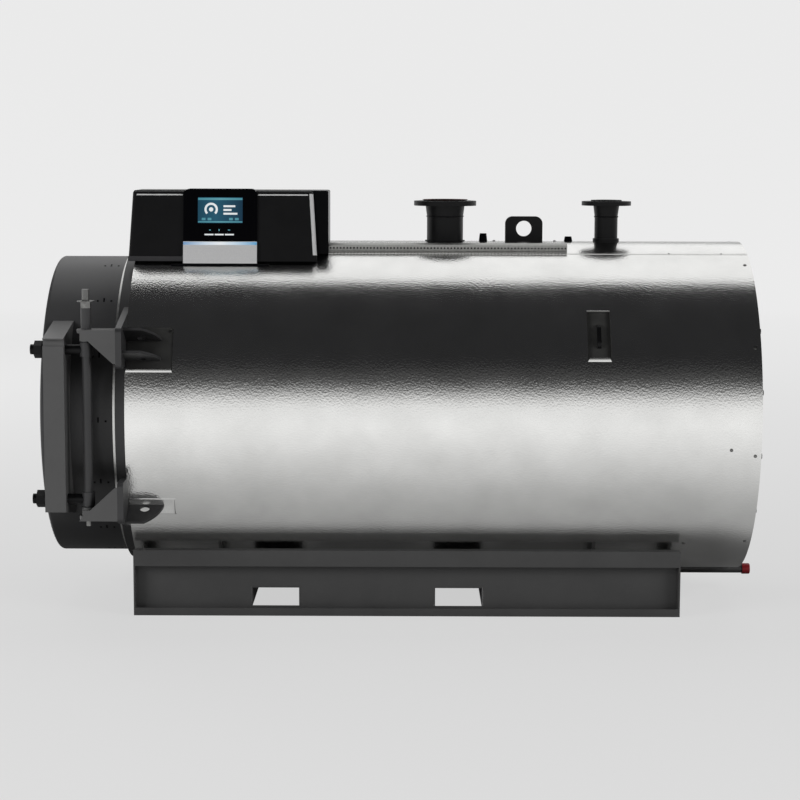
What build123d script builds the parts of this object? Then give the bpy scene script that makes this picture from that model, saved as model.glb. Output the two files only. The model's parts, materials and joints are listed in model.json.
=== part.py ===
"""Fire-tube hot-water boiler lying on a base frame, with a hinged burner door, in millimetres.

+Z is up, +X runs from the burner door to the flue end and -Y is the side with the control panel.
The origin is on the floor, half way along the boiler.
"""

import os
from math import cos, pi, radians, sin, sqrt, tan

from build123d import *

# Clearances
seat = 0.2              # between a welded piece and the curved face it follows
slip = 0.5              # round a pipe, plug or bolt that passes through a sheet
running = 0.4           # between the hinge pin and what turns on it
weld_land = 2.0         # how much wider the shell's hole is than the bore of the neck over it
past = 1.0              # how far a cutting shape reaches beyond the face that it opens

# Boiler body, from the pressure shell outwards
shell_r = 545.0
shell_t = 10.0
insulation_t = 87.0
jacket_t = 3.0
jacket_lift = 106.0     # height of the jacket's lowest line above the floor
jacket_front = -1020.0
jacket_rear = 1279.0
end_ring_t = 3.0
tube_plate_t = 20.0
rear_chamber = 85.0     # depth of the smoke chamber behind the rear tube plate
rear_cover_t = 30.0
chamber_margin = 12.0   # how much wider than the shell the smoke chamber is
flue_r = 150.0
flue_t = 4.0
flue_length = 60.0
flue_rim = 34.0         # width and thickness of the collar's rim on the rear cover
flue_rim_t = 6.0

# Furnace and smoke tubes
furnace_drop = 120.0    # furnace centre below the boiler's centre line
furnace_water = 135.0   # water space between the furnace and the bottom of the shell
furnace_t = 10.0
furnace_length = 1850.0
furnace_dish = 80.0
second_r = 44.0
second_count = 7
second_pitch = 30.0
second_water = 31.0     # water space between the furnace and the second-pass tubes
third_r = 33.0
third_count = 12
third_pitch = 18.0
third_water = 30.0      # water space between the shell and the third-pass tubes
tube_t = 4.0

# Front flange with its two pairs of ears
flange_t = 40.0
flange_margin = 55.0    # how far the flange reaches outside the shell
flange_cover = 25.0     # how far it reaches inside the shell
ear_margin = 52.0       # how far an ear reaches outside the hinge pin's axis
ear_t = 22.0
ear_low = 205.0         # height of an ear's near edge from the centre line
ear_clear = 36.0        # from the door arm's end to the ear's far edge
ear_rise = 13.0         # slope of an ear's far edge, in degrees
ear_corner = 18.0

# Gusset fins behind the ears
fin_t = 10.0
fin_setback = 12.0      # from the ear's end to the fin's corner
fin_top = 65.0
fin_length = 130.0
fin_heel = 70.0         # how much shorter the fin is at the shell
fin_bulge = 19.0        # how far the fin's edge bends out between its corner and its tip
fin_hole_r = 18.0
fin_hole_x = 62.0
fin_hole_rise = 20.0    # above the jacket
upper_fins = (28.2, 21.4)
lower_fins = (-29.5,)
fin_cut_length = 170.0
upper_cut = (17.0, 32.5)
lower_cut = (-26.6, -32.6)

# Side windows with their lashing lugs
window_x = 694.0
window_width = 85.0
window_arc = (21.1, 39.4)
lash_t = 14.0
lash_height = 96.0
lash_proud = 5.0        # how far the lug stands out of the jacket
lash_corner = 24.0
lash_hole_r = 17.0
lash_hole_in = 37.0     # from the lug's outer edge to the hole's centre

# Base frame
base_length = 2034.0
base_height = 247.0
base_t = 6.0
beam_gap = 16.5         # between the jacket and the beams' inner edge
beam_depth = 44.0
upper_lip = 60.0
lower_lip = 29.0
fork_x = (-490.0, 193.0)
fork_width = 174.0
fork_low = 30.0
fork_high = 99.0
tunnel_t = 4.0
cross_height = 62.0
cross_foot = 50.0
saddle_x = (-700.0, 700.0)
saddle_t = 12.0
saddle_rise = 43.0      # how far the saddles reach up from the bottom of the shell

# Flanged necks on the top
neck_rise = 159.0       # from the jacket's top to the joint face
raised_face = 5.0
hub_height = 42.0
hub_spread = 5.5        # how much wider the hub is under the flange than the pipe
flow_x = 143.5
flow_pipe_r = 69.85
flow_bore_r = 65.5
flow_flange_r = 120.0
flow_face_r = 84.0
flow_flange_t = 18.0
flow_pcd = 200.0
flow_holes = 8
return_x = 766.0
return_pipe_r = 44.45
return_bore_r = 41.0
return_flange_r = 95.0
return_face_r = 59.0
return_flange_t = 16.0
return_pcd = 150.0
return_holes = 4
flange_hole_r = 9.0
collar_width = 6.0
collar_t = 4.0
collar_lift = 7.0

# Lifting lugs and plugs
lug_x = (448.0, -480.0)
lug_width = 144.0
lug_t = 20.0
lug_rise = 95.0
lug_corner = 28.0
lug_hole_r = 30.0
lug_hole_rise = 48.0
plug_x = (291.0, 620.0)
plug_rise = (29.0, 18.0)
plug_r = 16.5
plug_taper = 3.5

# Cable duct
duct_start = -298.5
duct_end = 601.0
duct_angle = 16.8       # round the jacket from its top, to the near side
duct_width = 40.0
duct_height = 36.0
duct_t = 1.5
slot_pitch = 13.0
slot_length = 6.5
slot_height = 7.0

# Control panel on the jacket's near shoulder, with heights from the jacket's top
panel_left = -1045.0
panel_right = -340.0
panel_lean = 16.0       # how much the covers' ends draw in towards the top
case_left = -1030.0
case_right = -299.0
case_front = 225.0
case_back = 30.0
case_top = 196.0
cover_bottom = -66.0
cover_top = 193.0
cover_foot = 300.0
cover_crest = 262.0
cover_radius = 7.0
cover_side_radius = 17.0
display_left = -838.0
display_right = -563.0
display_bottom = -75.0
display_top = 203.0
display_proud = 6.0
display_corner = 24.0
lip_overhang = 45.0
lip_height = 26.0
lip_proud = 4.0
screen_width = 167.0
screen_height = 95.0
screen_centre = 123.5
screen_t = 3.0
fascia_height = 83.0
fascia_rise = 2.0
fascia_t = 5.0

# Drain pipe
drain_gap = 0.6         # between the jacket's lowest line and the pipe
drain_clear = 6.5       # round the pipe's bend where it passes through the jacket
drain_r = 16.85
drain_bore_r = 13.6
drain_bend = 25.0
drain_x = 900.0
cap_reach = 73.0        # from the jacket's rear edge to the end of the cap
cap_r = 21.0
cap_length = 30.0
cap_wall = 5.0

# Burner door
door_gap = 11.0         # thickness of the sealing ring between door and front flange
door_inset = 29.0       # how much smaller the door is than the front flange
door_depth = 266.0
door_wall = 5.0
door_front_t = 8.0
door_edge = 12.0
band_length = 27.0
seal_proud = 8.0        # how far the sealing ring stands out of the door's side
seal_cover = 10.0       # how far it stays outside the flange's bore
turning_margin = 15.0   # turning chamber inside the flange's bore
turning_depth = 110.0
nose_margin = 30.0      # lining's nose outside the furnace's bore
throat_r = 140.0
throat_spread = 50.0
burner_margin = 85.0
burner_plate_t = 15.0
burner_hole_in = 25.0   # from the throat's edge to the burner's bolt circle
burner_holes = 4
burner_hole_r = 6.5
sight_y = 330.0
sight_z = 190.0         # above the centre line
sight_r = 24.0
sight_neck_r = 18.0
sight_rim_t = 8.0
sight_bore_r = 12.0

# Door hinge, the same on both sides, with heights from the centre line
pin_offset = 92.0       # from the front flange's face to the pin's axis
pin_gap = 69.0          # from the door's side to the pin's axis
pin_r = 13.0
pin_proud = 41.0
pin_foot = 25.0
pin_foot_r = 9.0
post_r = 17.0
post_play = 0.6
eye_r = 23.5
eye_half = 25.0
bracket_inset = 5.0     # bracket's plate below the ear's far edge
bracket_t = 14.0
bracket_half = 33.0
cheek_t = 12.0          # upright plate of the bracket, in front of the pin
cheek_reach = 28.0      # from the pin's axis to the cheek's far corner
cheek_nose = 14.0
cheek_start = 12.0      # from the pin's axis to the start of the cheek's slanted edge
cheek_foot = 9.0
cheek_rise = 19.0       # cheek's lowest point above the ear's near edge
boss_cover = 5.0        # how far the boss stands out below the cheek
boss_r = 24.0
boss_height = 30.0
sleeve_r = 19.0
sleeve_height = 75.0
nut_flats = 34.0
nut_height = 23.0
washer_r = 31.0
washer_t = 3.5
arm_inset = 35.0        # from the door's front to the arm's
arm_width = 75.0
arm_margin = 45.0       # how far the arm reaches outside the pin's axis
arm_half = 314.0
arm_slope = 52.0        # how much higher the arm's end is inside the door
arm_root = 40.0         # how far the arm's end lies inside the door
arm_lip = 4.0           # edge of the arm's top plate over the groove in its outer face
groove_height = 24.0
groove_depth = 12.0
bolt_inset = 43.0       # from the arm's end to the bolt's axis
bolt_r = 18.0
bolt_nut_flats = 55.0
bolt_nut_t = 29.0
bolt_washer_r = 33.0
bolt_washer_t = 6.0
bolt_end = 15.0

# Places that follow from the sizes above
jacket_r = shell_r + insulation_t + jacket_t
axis_z = jacket_lift + jacket_r
jacket_top = axis_z + jacket_r
insulation_r = jacket_r - jacket_t - seat
flange_front = jacket_front - flange_t
ear_front = jacket_front - ear_t
flange_r = shell_r + flange_margin
flange_bore_r = shell_r - flange_cover
tube_front = jacket_front + tube_plate_t
rear_plate_x = jacket_rear - rear_cover_t - rear_chamber - tube_plate_t
furnace_z = axis_z - furnace_drop
furnace_r = shell_r - shell_t - furnace_water - furnace_drop - furnace_t
furnace_end = tube_front + furnace_length
second_ring = furnace_r + furnace_t + second_water + second_r
third_ring = shell_r - shell_t - third_water - third_r
door_back = flange_front - door_gap
door_front = door_back - door_depth
door_r = flange_r - door_inset
pin_x = flange_front - pin_offset
pin_y = door_r + pin_gap
ear_reach = pin_y + ear_margin
fin_reach = (ear_reach - fin_setback) / cos(radians(min(upper_fins)))
ear_high = arm_half + ear_clear
bracket_high = ear_high - bracket_inset
cheek_low = ear_low + cheek_rise
cheek_y = ear_reach - cheek_t
neck_top = jacket_top + neck_rise
beam_inner = sqrt((jacket_r + beam_gap) ** 2 - (axis_z - base_height) ** 2)
base_half = beam_inner + beam_depth
saddle_top = axis_z - shell_r + saddle_rise
drain_z = jacket_lift - drain_gap - drain_r
nodes = {}


def box(x0, x1, y0, y1, z0, z1):
    """A block between two corners."""
    low = (Align.MIN, Align.MIN, Align.MIN)
    return Pos(x0, y0, z0) * Box(x1 - x0, y1 - y0, z1 - z0, align=low)


upright = (Align.CENTER, Align.CENTER, Align.MIN)


def rod_x(r, x0, x1, y=0.0, z=axis_z):
    """A round bar along the boiler."""
    return Pos(x0, y, z) * Rot(0, 90, 0) * Cylinder(r, x1 - x0, align=upright)


def rod_z(r, z0, z1, x, y):
    """An upright round bar."""
    return Pos(x, y, z0) * Cylinder(r, z1 - z0, align=upright)


def rod_y(r, y0, y1, x, z):
    """A round bar across the boiler."""
    return Pos(x, y0, z) * Rot(-90, 0, 0) * Cylinder(r, y1 - y0, align=upright)


def pipe_x(r, bore, x0, x1, y=0.0, z=axis_z):
    """A round tube along the boiler, open at both ends."""
    return rod_x(r, x0, x1, y, z) - rod_x(bore, x0 - past, x1 + past, y, z)


def hex_bar(flats, x0, x1, y, z):
    """A hexagon bar along the boiler."""
    return Pos(x0, y, z) * Rot(0, 90, 0) * extrude(RegularPolygon(flats / 2, 6, major_radius=False), x1 - x0)


def across(points, x0, x1):
    """An outline of (y, z) points, drawn out along the boiler."""
    return Pos(x0, 0, 0) * extrude(Plane.YZ * make_face(Polyline(*points, close=True)), x1 - x0)


def wedge(angles, x0, x1, r_in, r_out):
    """A stretch of the space round the boiler between two angles above the near side's level."""
    corners = [(r_in, angles[0]), (r_out, angles[0]), (r_out, angles[1]), (r_in, angles[1])]
    return across([(-r * cos(radians(a)), axis_z + r * sin(radians(a))) for r, a in corners], x0, x1)


def turned(shape, angle):
    """A shape drawn straight up from the centre line, turned to an angle above the near side's level."""
    return Pos(0, 0, axis_z) * Rot(90 - angle, 0, 0) * shape


def far(shape):
    """The same shape on the far side."""
    return mirror(shape, Plane.XZ)


def both(shape):
    """The shape and its twin on the far side."""
    return [shape, far(shape)]


def fan(count, pitch, ring, centre_z):
    """Centres of tubes that lie in a fan about the upright, as (y, z)."""
    start = 90 - pitch * (count - 1) / 2
    angles = [radians(start + pitch * i) for i in range(count)]
    return [(ring * cos(a), centre_z + ring * sin(a)) for a in angles]


second_places = fan(second_count, second_pitch, second_ring, furnace_z)
third_places = fan(third_count, third_pitch, third_ring, axis_z)


# Pressure body: shell, tube plates, furnace and smoke tubes
def pressure_body():
    shell = pipe_x(shell_r, shell_r - shell_t, tube_front, rear_plate_x)
    for x, bore in ((flow_x, flow_bore_r), (return_x, return_bore_r)):
        shell -= rod_z(bore + weld_land, axis_z, jacket_top, x, 0)
    shell -= rod_z(drain_bore_r, 0, axis_z, drain_x, 0)
    nodes["boiler_shell"] = shell

    front = rod_x(shell_r, jacket_front, tube_front)
    front -= rod_x(furnace_r, jacket_front - past, tube_front + past, 0, furnace_z)
    rear = rod_x(shell_r, rear_plate_x, rear_plate_x + tube_plate_t)
    for y, z in second_places:
        front -= rod_x(second_r - tube_t, jacket_front - past, tube_front + past, y, z)
    for y, z in third_places:
        front -= rod_x(third_r - tube_t, jacket_front - past, tube_front + past, y, z)
        rear -= rod_x(third_r - tube_t, rear_plate_x - past, rear_plate_x + tube_plate_t + past, y, z)
    nodes["front_tube_plate"] = front
    nodes["rear_tube_plate"] = rear

    nodes["furnace_tube"] = pipe_x(furnace_r + furnace_t, furnace_r, tube_front, furnace_end, 0, furnace_z)
    rim = furnace_r + furnace_t
    dish_r = (rim ** 2 + furnace_dish ** 2) / (2 * furnace_dish)
    half = make_face([
        Line((0, 0), (0, rim)),
        RadiusArc((0, rim), (furnace_dish, 0), dish_r),
        Line((furnace_dish, 0), (0, 0)),
    ])
    nodes["furnace_end"] = Pos(furnace_end, 0, furnace_z) * revolve(half, Axis.X)

    nodes["second_pass_tubes"] = Compound([
        pipe_x(second_r, second_r - tube_t, tube_front, rear_plate_x, y, z) for y, z in second_places])
    nodes["third_pass_tubes"] = Compound([
        pipe_x(third_r, third_r - tube_t, tube_front, rear_plate_x, y, z) for y, z in third_places])


# Openings that the jacket and the insulation share
def side_openings(r_in):
    cuts = []
    for arc, x0, x1 in (
        (upper_cut, jacket_front - past, jacket_front + fin_cut_length),
        (lower_cut, jacket_front - past, jacket_front + fin_cut_length),
        (window_arc, window_x - window_width / 2, window_x + window_width / 2),
    ):
        cuts += both(wedge(arc, x0, x1, r_in, fin_reach))
    for x in saddle_x:
        half = saddle_t / 2 + slip
        cuts.append(box(x - half, x + half, -beam_inner, beam_inner, 0, saddle_top + slip))
    for x, r in ((flow_x, flow_pipe_r), (return_x, return_pipe_r)):
        cuts.append(rod_z(r + slip, axis_z, jacket_top + past, x, 0))
    for x in lug_x:
        half = lug_width / 2 + slip
        cuts.append(box(x - half, x + half, -lug_t / 2 - slip, lug_t / 2 + slip, axis_z, jacket_top + past))
    cuts.append(rod_z(drain_r + drain_clear, 0, axis_z, drain_x, 0))
    return cuts


# Insulation, jacket and the two ends of the jacket
def lagging():
    front = jacket_front + end_ring_t
    rear = rear_plate_x + tube_plate_t
    cover_front = jacket_rear - rear_cover_t
    wool = pipe_x(insulation_r, shell_r + seat, front, rear) - side_openings(shell_r - shell_t)
    wool += pipe_x(insulation_r, shell_r + chamber_margin, rear, cover_front)
    nodes["insulation"] = wool
    jacket = pipe_x(jacket_r, jacket_r - jacket_t, jacket_front, jacket_rear) - side_openings(shell_r)
    for x in plug_x:
        jacket -= rod_z(plug_r - plug_taper, axis_z, jacket_top + past, x, 0)
    nodes["jacket"] = jacket
    ring = pipe_x(insulation_r, shell_r + seat, jacket_front, front) - side_openings(shell_r - shell_t)
    nodes["jacket_front_ring"] = ring
    nodes["rear_cover"] = pipe_x(insulation_r, flue_r - flue_t, cover_front, jacket_rear)
    collar = rod_x(flue_r + flue_rim, jacket_rear, jacket_rear + flue_rim_t)
    collar += rod_x(flue_r, jacket_rear, jacket_rear + flue_length)
    nodes["flue_collar"] = collar - rod_x(flue_r - flue_t, jacket_rear - past, jacket_rear + flue_length + past)


# Front flange: a thick ring with an ear above and below the centre line on each side
def front_flange():
    ring = rod_x(flange_r, flange_front, jacket_front)
    root = flange_r * cos(radians(45))
    crest = ear_high + (ear_reach - root) * tan(radians(ear_rise))
    ears = []
    for side in (-1, 1):
        for up in (-1, 1):
            outline = [(root, ear_low), (ear_reach, ear_low), (ear_reach, ear_high), (root, crest)]
            ear = across([(side * y, axis_z + up * z) for y, z in outline], ear_front, jacket_front)
            ends = [e for e in ear.edges().filter_by(Axis.X) if abs(e.center().Y) > ear_reach - past]
            ears.append(fillet(ends, ear_corner))
    nodes["front_flange"] = ring + ears - rod_x(flange_bore_r, flange_front - past, jacket_front + past)


# Radial fins that brace the ears against the shell through the jacket's cut-outs
def gusset(angle):
    tip = jacket_front + fin_length
    corner = jacket_front + fin_top
    foot = shell_r + seat
    outline = [
        Line((jacket_front, foot), (jacket_front, fin_reach)),
        Line((jacket_front, fin_reach), (corner, fin_reach)),
        ThreePointArc(
            (corner, fin_reach), ((corner + tip) / 2, (fin_reach + jacket_r) / 2 + fin_bulge), (tip, jacket_r)),
        Line((tip, jacket_r), (tip - fin_heel, foot)),
        Line((tip - fin_heel, foot), (jacket_front, foot)),
    ]
    plate = extrude(Plane.XZ * make_face(outline), fin_t / 2, both=True)
    plate -= rod_y(fin_hole_r, -fin_t, fin_t, jacket_front + fin_hole_x, jacket_r + fin_hole_rise)
    return turned(plate, angle)


def gussets():
    fins = [gusset(angle) for angle in upper_fins + lower_fins]
    nodes["gussets"] = Compound(fins + [far(fin) for fin in fins])


# Lashing lugs that stand in the side windows
def lashing_lugs():
    top = jacket_r + lash_proud
    plate = Pos(window_x - lash_t / 2, 0, 0) * extrude(
        Plane.YZ * make_face(Polyline(
            (-lash_height / 2, shell_r - lash_height / 2), (-lash_height / 2, top),
            (lash_height / 2, top), (lash_height / 2, shell_r - lash_height / 2), close=True)), lash_t)
    plate = fillet(plate.edges().filter_by(Axis.X).group_by(Axis.Z)[-1], lash_corner)
    plate -= rod_x(shell_r + seat, window_x - lash_t, window_x + lash_t, 0, 0)
    plate -= rod_x(lash_hole_r, window_x - lash_t, window_x + lash_t, 0, top - lash_hole_in)
    nodes["lashing_lugs"] = Compound(both(turned(plate, sum(window_arc) / 2)))


# Base frame: lipped channels with end plates, cross angles, fork tunnels and saddles
def base_frame():
    y0 = beam_inner
    y1 = base_half
    t = base_t
    end = base_length / 2
    section = [
        (y0, 0), (y1, 0), (y1, lower_lip), (y1 - t, lower_lip), (y1 - t, t), (y0 + t, t),
        (y0 + t, base_height - t), (y1 - t, base_height - t), (y1 - t, base_height - upper_lip),
        (y1, base_height - upper_lip), (y1, base_height), (y0, base_height),
    ]
    beam = across(section, -end, end)
    for x in (-end, end - t):
        beam += box(x, x + t, y0, y1, 0, base_height)
    for x in fork_x:
        half = fork_width / 2 + tunnel_t + slip
        beam -= box(x - half, x + half, y0 - past, y0 + t + past, fork_low, fork_high + tunnel_t + slip)
    nodes["far_base_beam"] = beam
    nodes["near_base_beam"] = far(beam)

    angle = box(-t, 0, -y0, y0, 0, cross_height) + box(-cross_foot, 0, -y0, y0, 0, t)
    angle = Pos(end, 0, 0) * angle
    nodes["cross_angles"] = Compound([angle, mirror(angle, Plane.YZ)])

    tunnels = []
    for x in fork_x:
        half = fork_width / 2
        outer = box(x - half - tunnel_t, x + half + tunnel_t, -y0 - t, y0 + t, fork_low, fork_high + tunnel_t)
        tunnels.append(outer - box(x - half, x + half, -base_half, base_half, 0, fork_high))
    nodes["fork_tunnels"] = Compound(tunnels)

    saddles = []
    for x in saddle_x:
        plate = box(x - saddle_t / 2, x + saddle_t / 2, -y0, y0, 0, saddle_top)
        saddles.append(plate - rod_x(shell_r + seat, x - saddle_t, x + saddle_t))
    nodes["saddles"] = Compound(saddles)


# Flanged necks, with a tapered hub under each flange
def neck(x, pipe_r, bore_r, flange_radius, face_r, thick, pcd, holes):
    joint = neck_top - raised_face
    under = joint - thick
    body = rod_z(pipe_r, axis_z, under, x, 0)
    body += Pos(x, 0, under - hub_height) * Cone(
        pipe_r, pipe_r + hub_spread, hub_height, align=upright)
    body += rod_z(flange_radius, under, joint, x, 0) + rod_z(face_r, joint, neck_top, x, 0)
    body -= rod_x(shell_r + seat, x - flange_radius, x + flange_radius)
    body -= rod_z(bore_r, axis_z, neck_top + past, x, 0)
    for i in range(holes):
        a = 2 * pi * (i + 0.5) / holes
        body -= rod_z(flange_hole_r, under - past, joint + past, x + pcd / 2 * cos(a), pcd / 2 * sin(a))
    return body


def necks():
    nodes["flow_neck"] = neck(
        flow_x, flow_pipe_r, flow_bore_r, flow_flange_r, flow_face_r, flow_flange_t, flow_pcd, flow_holes)
    nodes["return_neck"] = neck(
        return_x, return_pipe_r, return_bore_r, return_flange_r, return_face_r, return_flange_t,
        return_pcd, return_holes)
    outer = return_pipe_r + collar_width
    top = jacket_top + collar_lift + collar_t
    ring = rod_z(outer, axis_z, top, return_x, 0)
    ring -= rod_z(return_pipe_r + seat, axis_z, top + past, return_x, 0)
    nodes["return_collar"] = ring - rod_x(jacket_r + seat, return_x - 2 * outer, return_x + 2 * outer)


# Lifting lugs welded to the shell, and the plugs in the jacket's top
def top_fittings():
    lugs = []
    for x in lug_x:
        plate = box(x - lug_width / 2, x + lug_width / 2, -lug_t / 2, lug_t / 2, axis_z, jacket_top + lug_rise)
        plate = fillet(plate.edges().filter_by(Axis.Y).group_by(Axis.Z)[-1], lug_corner)
        plate -= rod_x(shell_r + seat, x - lug_width, x + lug_width)
        lugs.append(plate - rod_y(lug_hole_r, -lug_t, lug_t, x, jacket_top + lug_hole_rise))
    nodes["lifting_lugs"] = Compound(lugs)

    plugs = []
    for x, rise in zip(plug_x, plug_rise):
        stem = plug_r - plug_taper - slip
        head = Pos(x, 0, jacket_top) * Cone(
            plug_r, plug_r - plug_taper, rise, align=upright)
        plugs.append(head + rod_z(stem, axis_z + insulation_r + seat, jacket_top + rise / 2, x, 0))
    nodes["sensor_plugs"] = Compound(plugs)


# Slotted cable duct, set square to the jacket a little off its top
def cable_duct():
    length = duct_end - duct_start
    foot = jacket_r + duct_width ** 2 / (8 * jacket_r)
    low = (Align.MIN, Align.CENTER, Align.MIN)
    duct = Box(length, duct_width, duct_height, align=low)
    inside = Box(length + 2 * past, duct_width - 2 * duct_t, duct_height - 2 * duct_t, align=low)
    duct -= Pos(-past, 0, duct_t) * inside
    count = int((length - slot_pitch) // slot_pitch)
    slot = Box(slot_length, 4 * duct_t, slot_height)
    duct -= [Pos(slot_pitch * (i + 1), -duct_width / 2, duct_height / 2) * slot for i in range(count)]
    nodes["cable_duct"] = turned(Pos(duct_start, 0, foot) * duct, 90 - duct_angle)


# Control panel
def panel():
    round_jacket = rod_x(jacket_r + seat, panel_left - past, case_right + past)

    def front_y(z):
        return cover_foot + (cover_crest - cover_foot) * (z - cover_bottom) / (cover_top - cover_bottom)

    case = box(case_left, case_right, -case_front, -case_back, axis_z, jacket_top + case_top)
    case = fillet(case.edges().filter_by(Axis.Y).group_by(Axis.Z)[-1], cover_radius)
    nodes["panel_case"] = case - round_jacket

    def cover(x0, x1, lean0, lean1):
        foot = Plane(origin=(0, 0, jacket_top + cover_bottom)) * make_face(Polyline(
            (x0 - lean0, -case_front), (x1 + lean1, -case_front), (x1 + lean1, -cover_foot),
            (x0 - lean0, -cover_foot), close=True))
        crest = Plane(origin=(0, 0, jacket_top + cover_top)) * make_face(Polyline(
            (x0, -case_front), (x1, -case_front), (x1, -cover_crest), (x0, -cover_crest), close=True))
        shape = loft([foot, crest])
        corners = shape.edges().filter_by(lambda e: abs(e.tangent_at(0.5).Z) > 0.5)
        outer = corners.sort_by(Axis.Y)[:2].sort_by(Axis.X)[0 if lean0 else -1]
        shape = fillet(outer, cover_side_radius)
        front = -(case_front + 3 * cover_crest) / 4
        rim = [e for e in shape.edges().group_by(Axis.Z)[-1] if e.center().Y < front]
        return fillet(rim, cover_radius) - round_jacket

    nodes["panel_left_cover"] = cover(panel_left + panel_lean, display_left, panel_lean, 0)
    nodes["panel_right_cover"] = cover(display_right, panel_right - panel_lean, 0, panel_lean)

    def facing(low, high, x0, x1, depth, proud):
        a = -front_y(low) - display_proud
        b = -front_y(high) - display_proud
        return across([(a + depth, jacket_top + low), (a - proud, jacket_top + low),
                       (b - proud, jacket_top + high), (b + depth, jacket_top + high)], x0, x1)

    z0 = jacket_top + display_bottom
    z1 = jacket_top + display_top
    module = across([
        (-case_front, z0), (-front_y(display_bottom) - display_proud, z0),
        (-front_y(display_top) - display_proud, z1), (-case_front, z1)], display_left, display_right)
    module = fillet(module.edges().filter_by(Axis.Y, tolerance=20).group_by(Axis.Z)[-1], display_corner)

    middle = (display_left + display_right) / 2
    low = screen_centre - screen_height / 2
    high = screen_centre + screen_height / 2
    x0 = middle - screen_width / 2
    x1 = middle + screen_width / 2
    module -= facing(low, high, x0, x1, screen_t, display_proud)
    nodes["display_screen"] = facing(low, high, x0, x1, screen_t, 0)
    fascia = facing(
        display_bottom + fascia_rise, display_bottom + fascia_height, display_left, display_right, 0, fascia_t)
    nodes["display_fascia"] = fascia - round_jacket

    x0 = display_left - lip_overhang
    x1 = display_right + lip_overhang
    lip_front = front_y(display_bottom) + display_proud + lip_proud
    lip = box(x0, x1, -lip_front, -case_front, z0 - lip_height, z0)
    lip -= [nodes["panel_left_cover"], nodes["panel_right_cover"]]
    nodes["display_module"] = module + lip - round_jacket


# Drain pipe from the bottom of the shell, with its cap
def drain():
    start = axis_z - shell_r - seat
    end = jacket_rear + cap_reach - cap_wall
    route = FilletPolyline((drain_x, 0, start), (drain_x, 0, drain_z), (end, 0, drain_z), radius=drain_bend)
    ring = Plane(origin=(drain_x, 0, start), z_dir=(0, 0, -1)) * (Circle(drain_r) - Circle(drain_bore_r))
    nodes["drain_pipe"] = sweep(ring, route)
    cap = rod_x(cap_r, end + cap_wall - cap_length, end + cap_wall, 0, drain_z)
    cap -= rod_x(drain_r + seat, end - cap_length, end, 0, drain_z)
    nodes["drain_cap"] = chamfer(cap.edges().group_by(Axis.X)[-1], cap_wall / 2)


# Burner door: drum, rear rim, sealing ring, lining, burner plate and sight glass
def door():
    inside_r = door_r - door_wall
    rim_front = door_back - band_length
    drum = rod_x(door_r, door_front, rim_front)
    drum = fillet(drum.edges().group_by(Axis.X)[0], door_edge)
    drum -= rod_x(inside_r, door_front + door_front_t, door_back)
    drum -= rod_x(throat_r, door_front - past, door_back, 0, furnace_z)
    drum -= rod_x(sight_bore_r, door_front - past, door_back, sight_y, axis_z + sight_z)
    nodes["door_drum"] = drum
    nodes["door_band"] = pipe_x(door_r, inside_r, rim_front, door_back)
    nodes["door_seal_ring"] = pipe_x(door_r + seal_proud, flange_bore_r + seal_cover, door_back, flange_front)

    lining = rod_x(inside_r - seat, door_front + door_front_t, door_back)
    hollow = rod_x(flange_bore_r - turning_margin, door_back - turning_depth, door_back + past)
    lining -= hollow - rod_x(furnace_r + nose_margin, door_front, door_back + 2 * past, 0, furnace_z)
    lining -= Pos(door_front, 0, furnace_z) * Rot(0, 90, 0) * Cone(
        throat_r, throat_r + throat_spread, door_depth, align=upright)
    lining -= rod_x(sight_bore_r, door_front, door_back, sight_y, axis_z + sight_z)
    nodes["door_lining"] = lining

    face = door_front - burner_plate_t
    plate = pipe_x(throat_r + burner_margin, throat_r, face, door_front, 0, furnace_z)
    circle = throat_r + burner_hole_in
    for i in range(burner_holes):
        a = 2 * pi * (i + 0.5) / burner_holes
        plate -= rod_x(
            burner_hole_r, face - past, door_front + past, circle * cos(a), furnace_z + circle * sin(a))
    nodes["burner_plate"] = plate

    z = axis_z + sight_z
    sight = rod_x(sight_r, door_front - sight_rim_t, door_front, sight_y, z)
    nodes["sight_glass"] = sight + rod_x(sight_neck_r, face, door_front, sight_y, z)


# Hinge: brackets on the ears, pin with its sleeve and nut, post with the bolts' eyes, door arm and bolts
def bracket(up):
    """Near side's bracket above the centre line, or below it where up is -1."""
    def level(z):
        return axis_z + up * z

    def rod(r, z0, z1):
        low, high = sorted((level(z0), level(z1)))
        return rod_z(r, low, high, pin_x, -pin_y)

    plate_z = bracket_high - bracket_t
    boss_z = plate_z - boss_height
    low, high = sorted((level(plate_z), level(bracket_high)))
    plate = box(pin_x, ear_front, -cheek_y, -pin_y + bracket_half, low, high)
    plate += rod(bracket_half, plate_z, bracket_high)
    cheek = Plane.XZ * make_face(Polyline(
        (pin_x - cheek_reach, level(bracket_high)), (ear_front, level(bracket_high)),
        (ear_front, level(cheek_low)), (ear_front - cheek_foot, level(cheek_low)),
        (pin_x + cheek_start, level(boss_z + boss_cover)), (pin_x - cheek_nose, level(boss_z + boss_cover)),
        (pin_x - cheek_nose, level(plate_z)), close=True))
    plate += Pos(0, -cheek_y, 0) * extrude(cheek, cheek_t)
    plate += rod(boss_r, boss_z, plate_z)
    return plate - rod(pin_r + running, boss_z - past, bracket_high + past)


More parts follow.
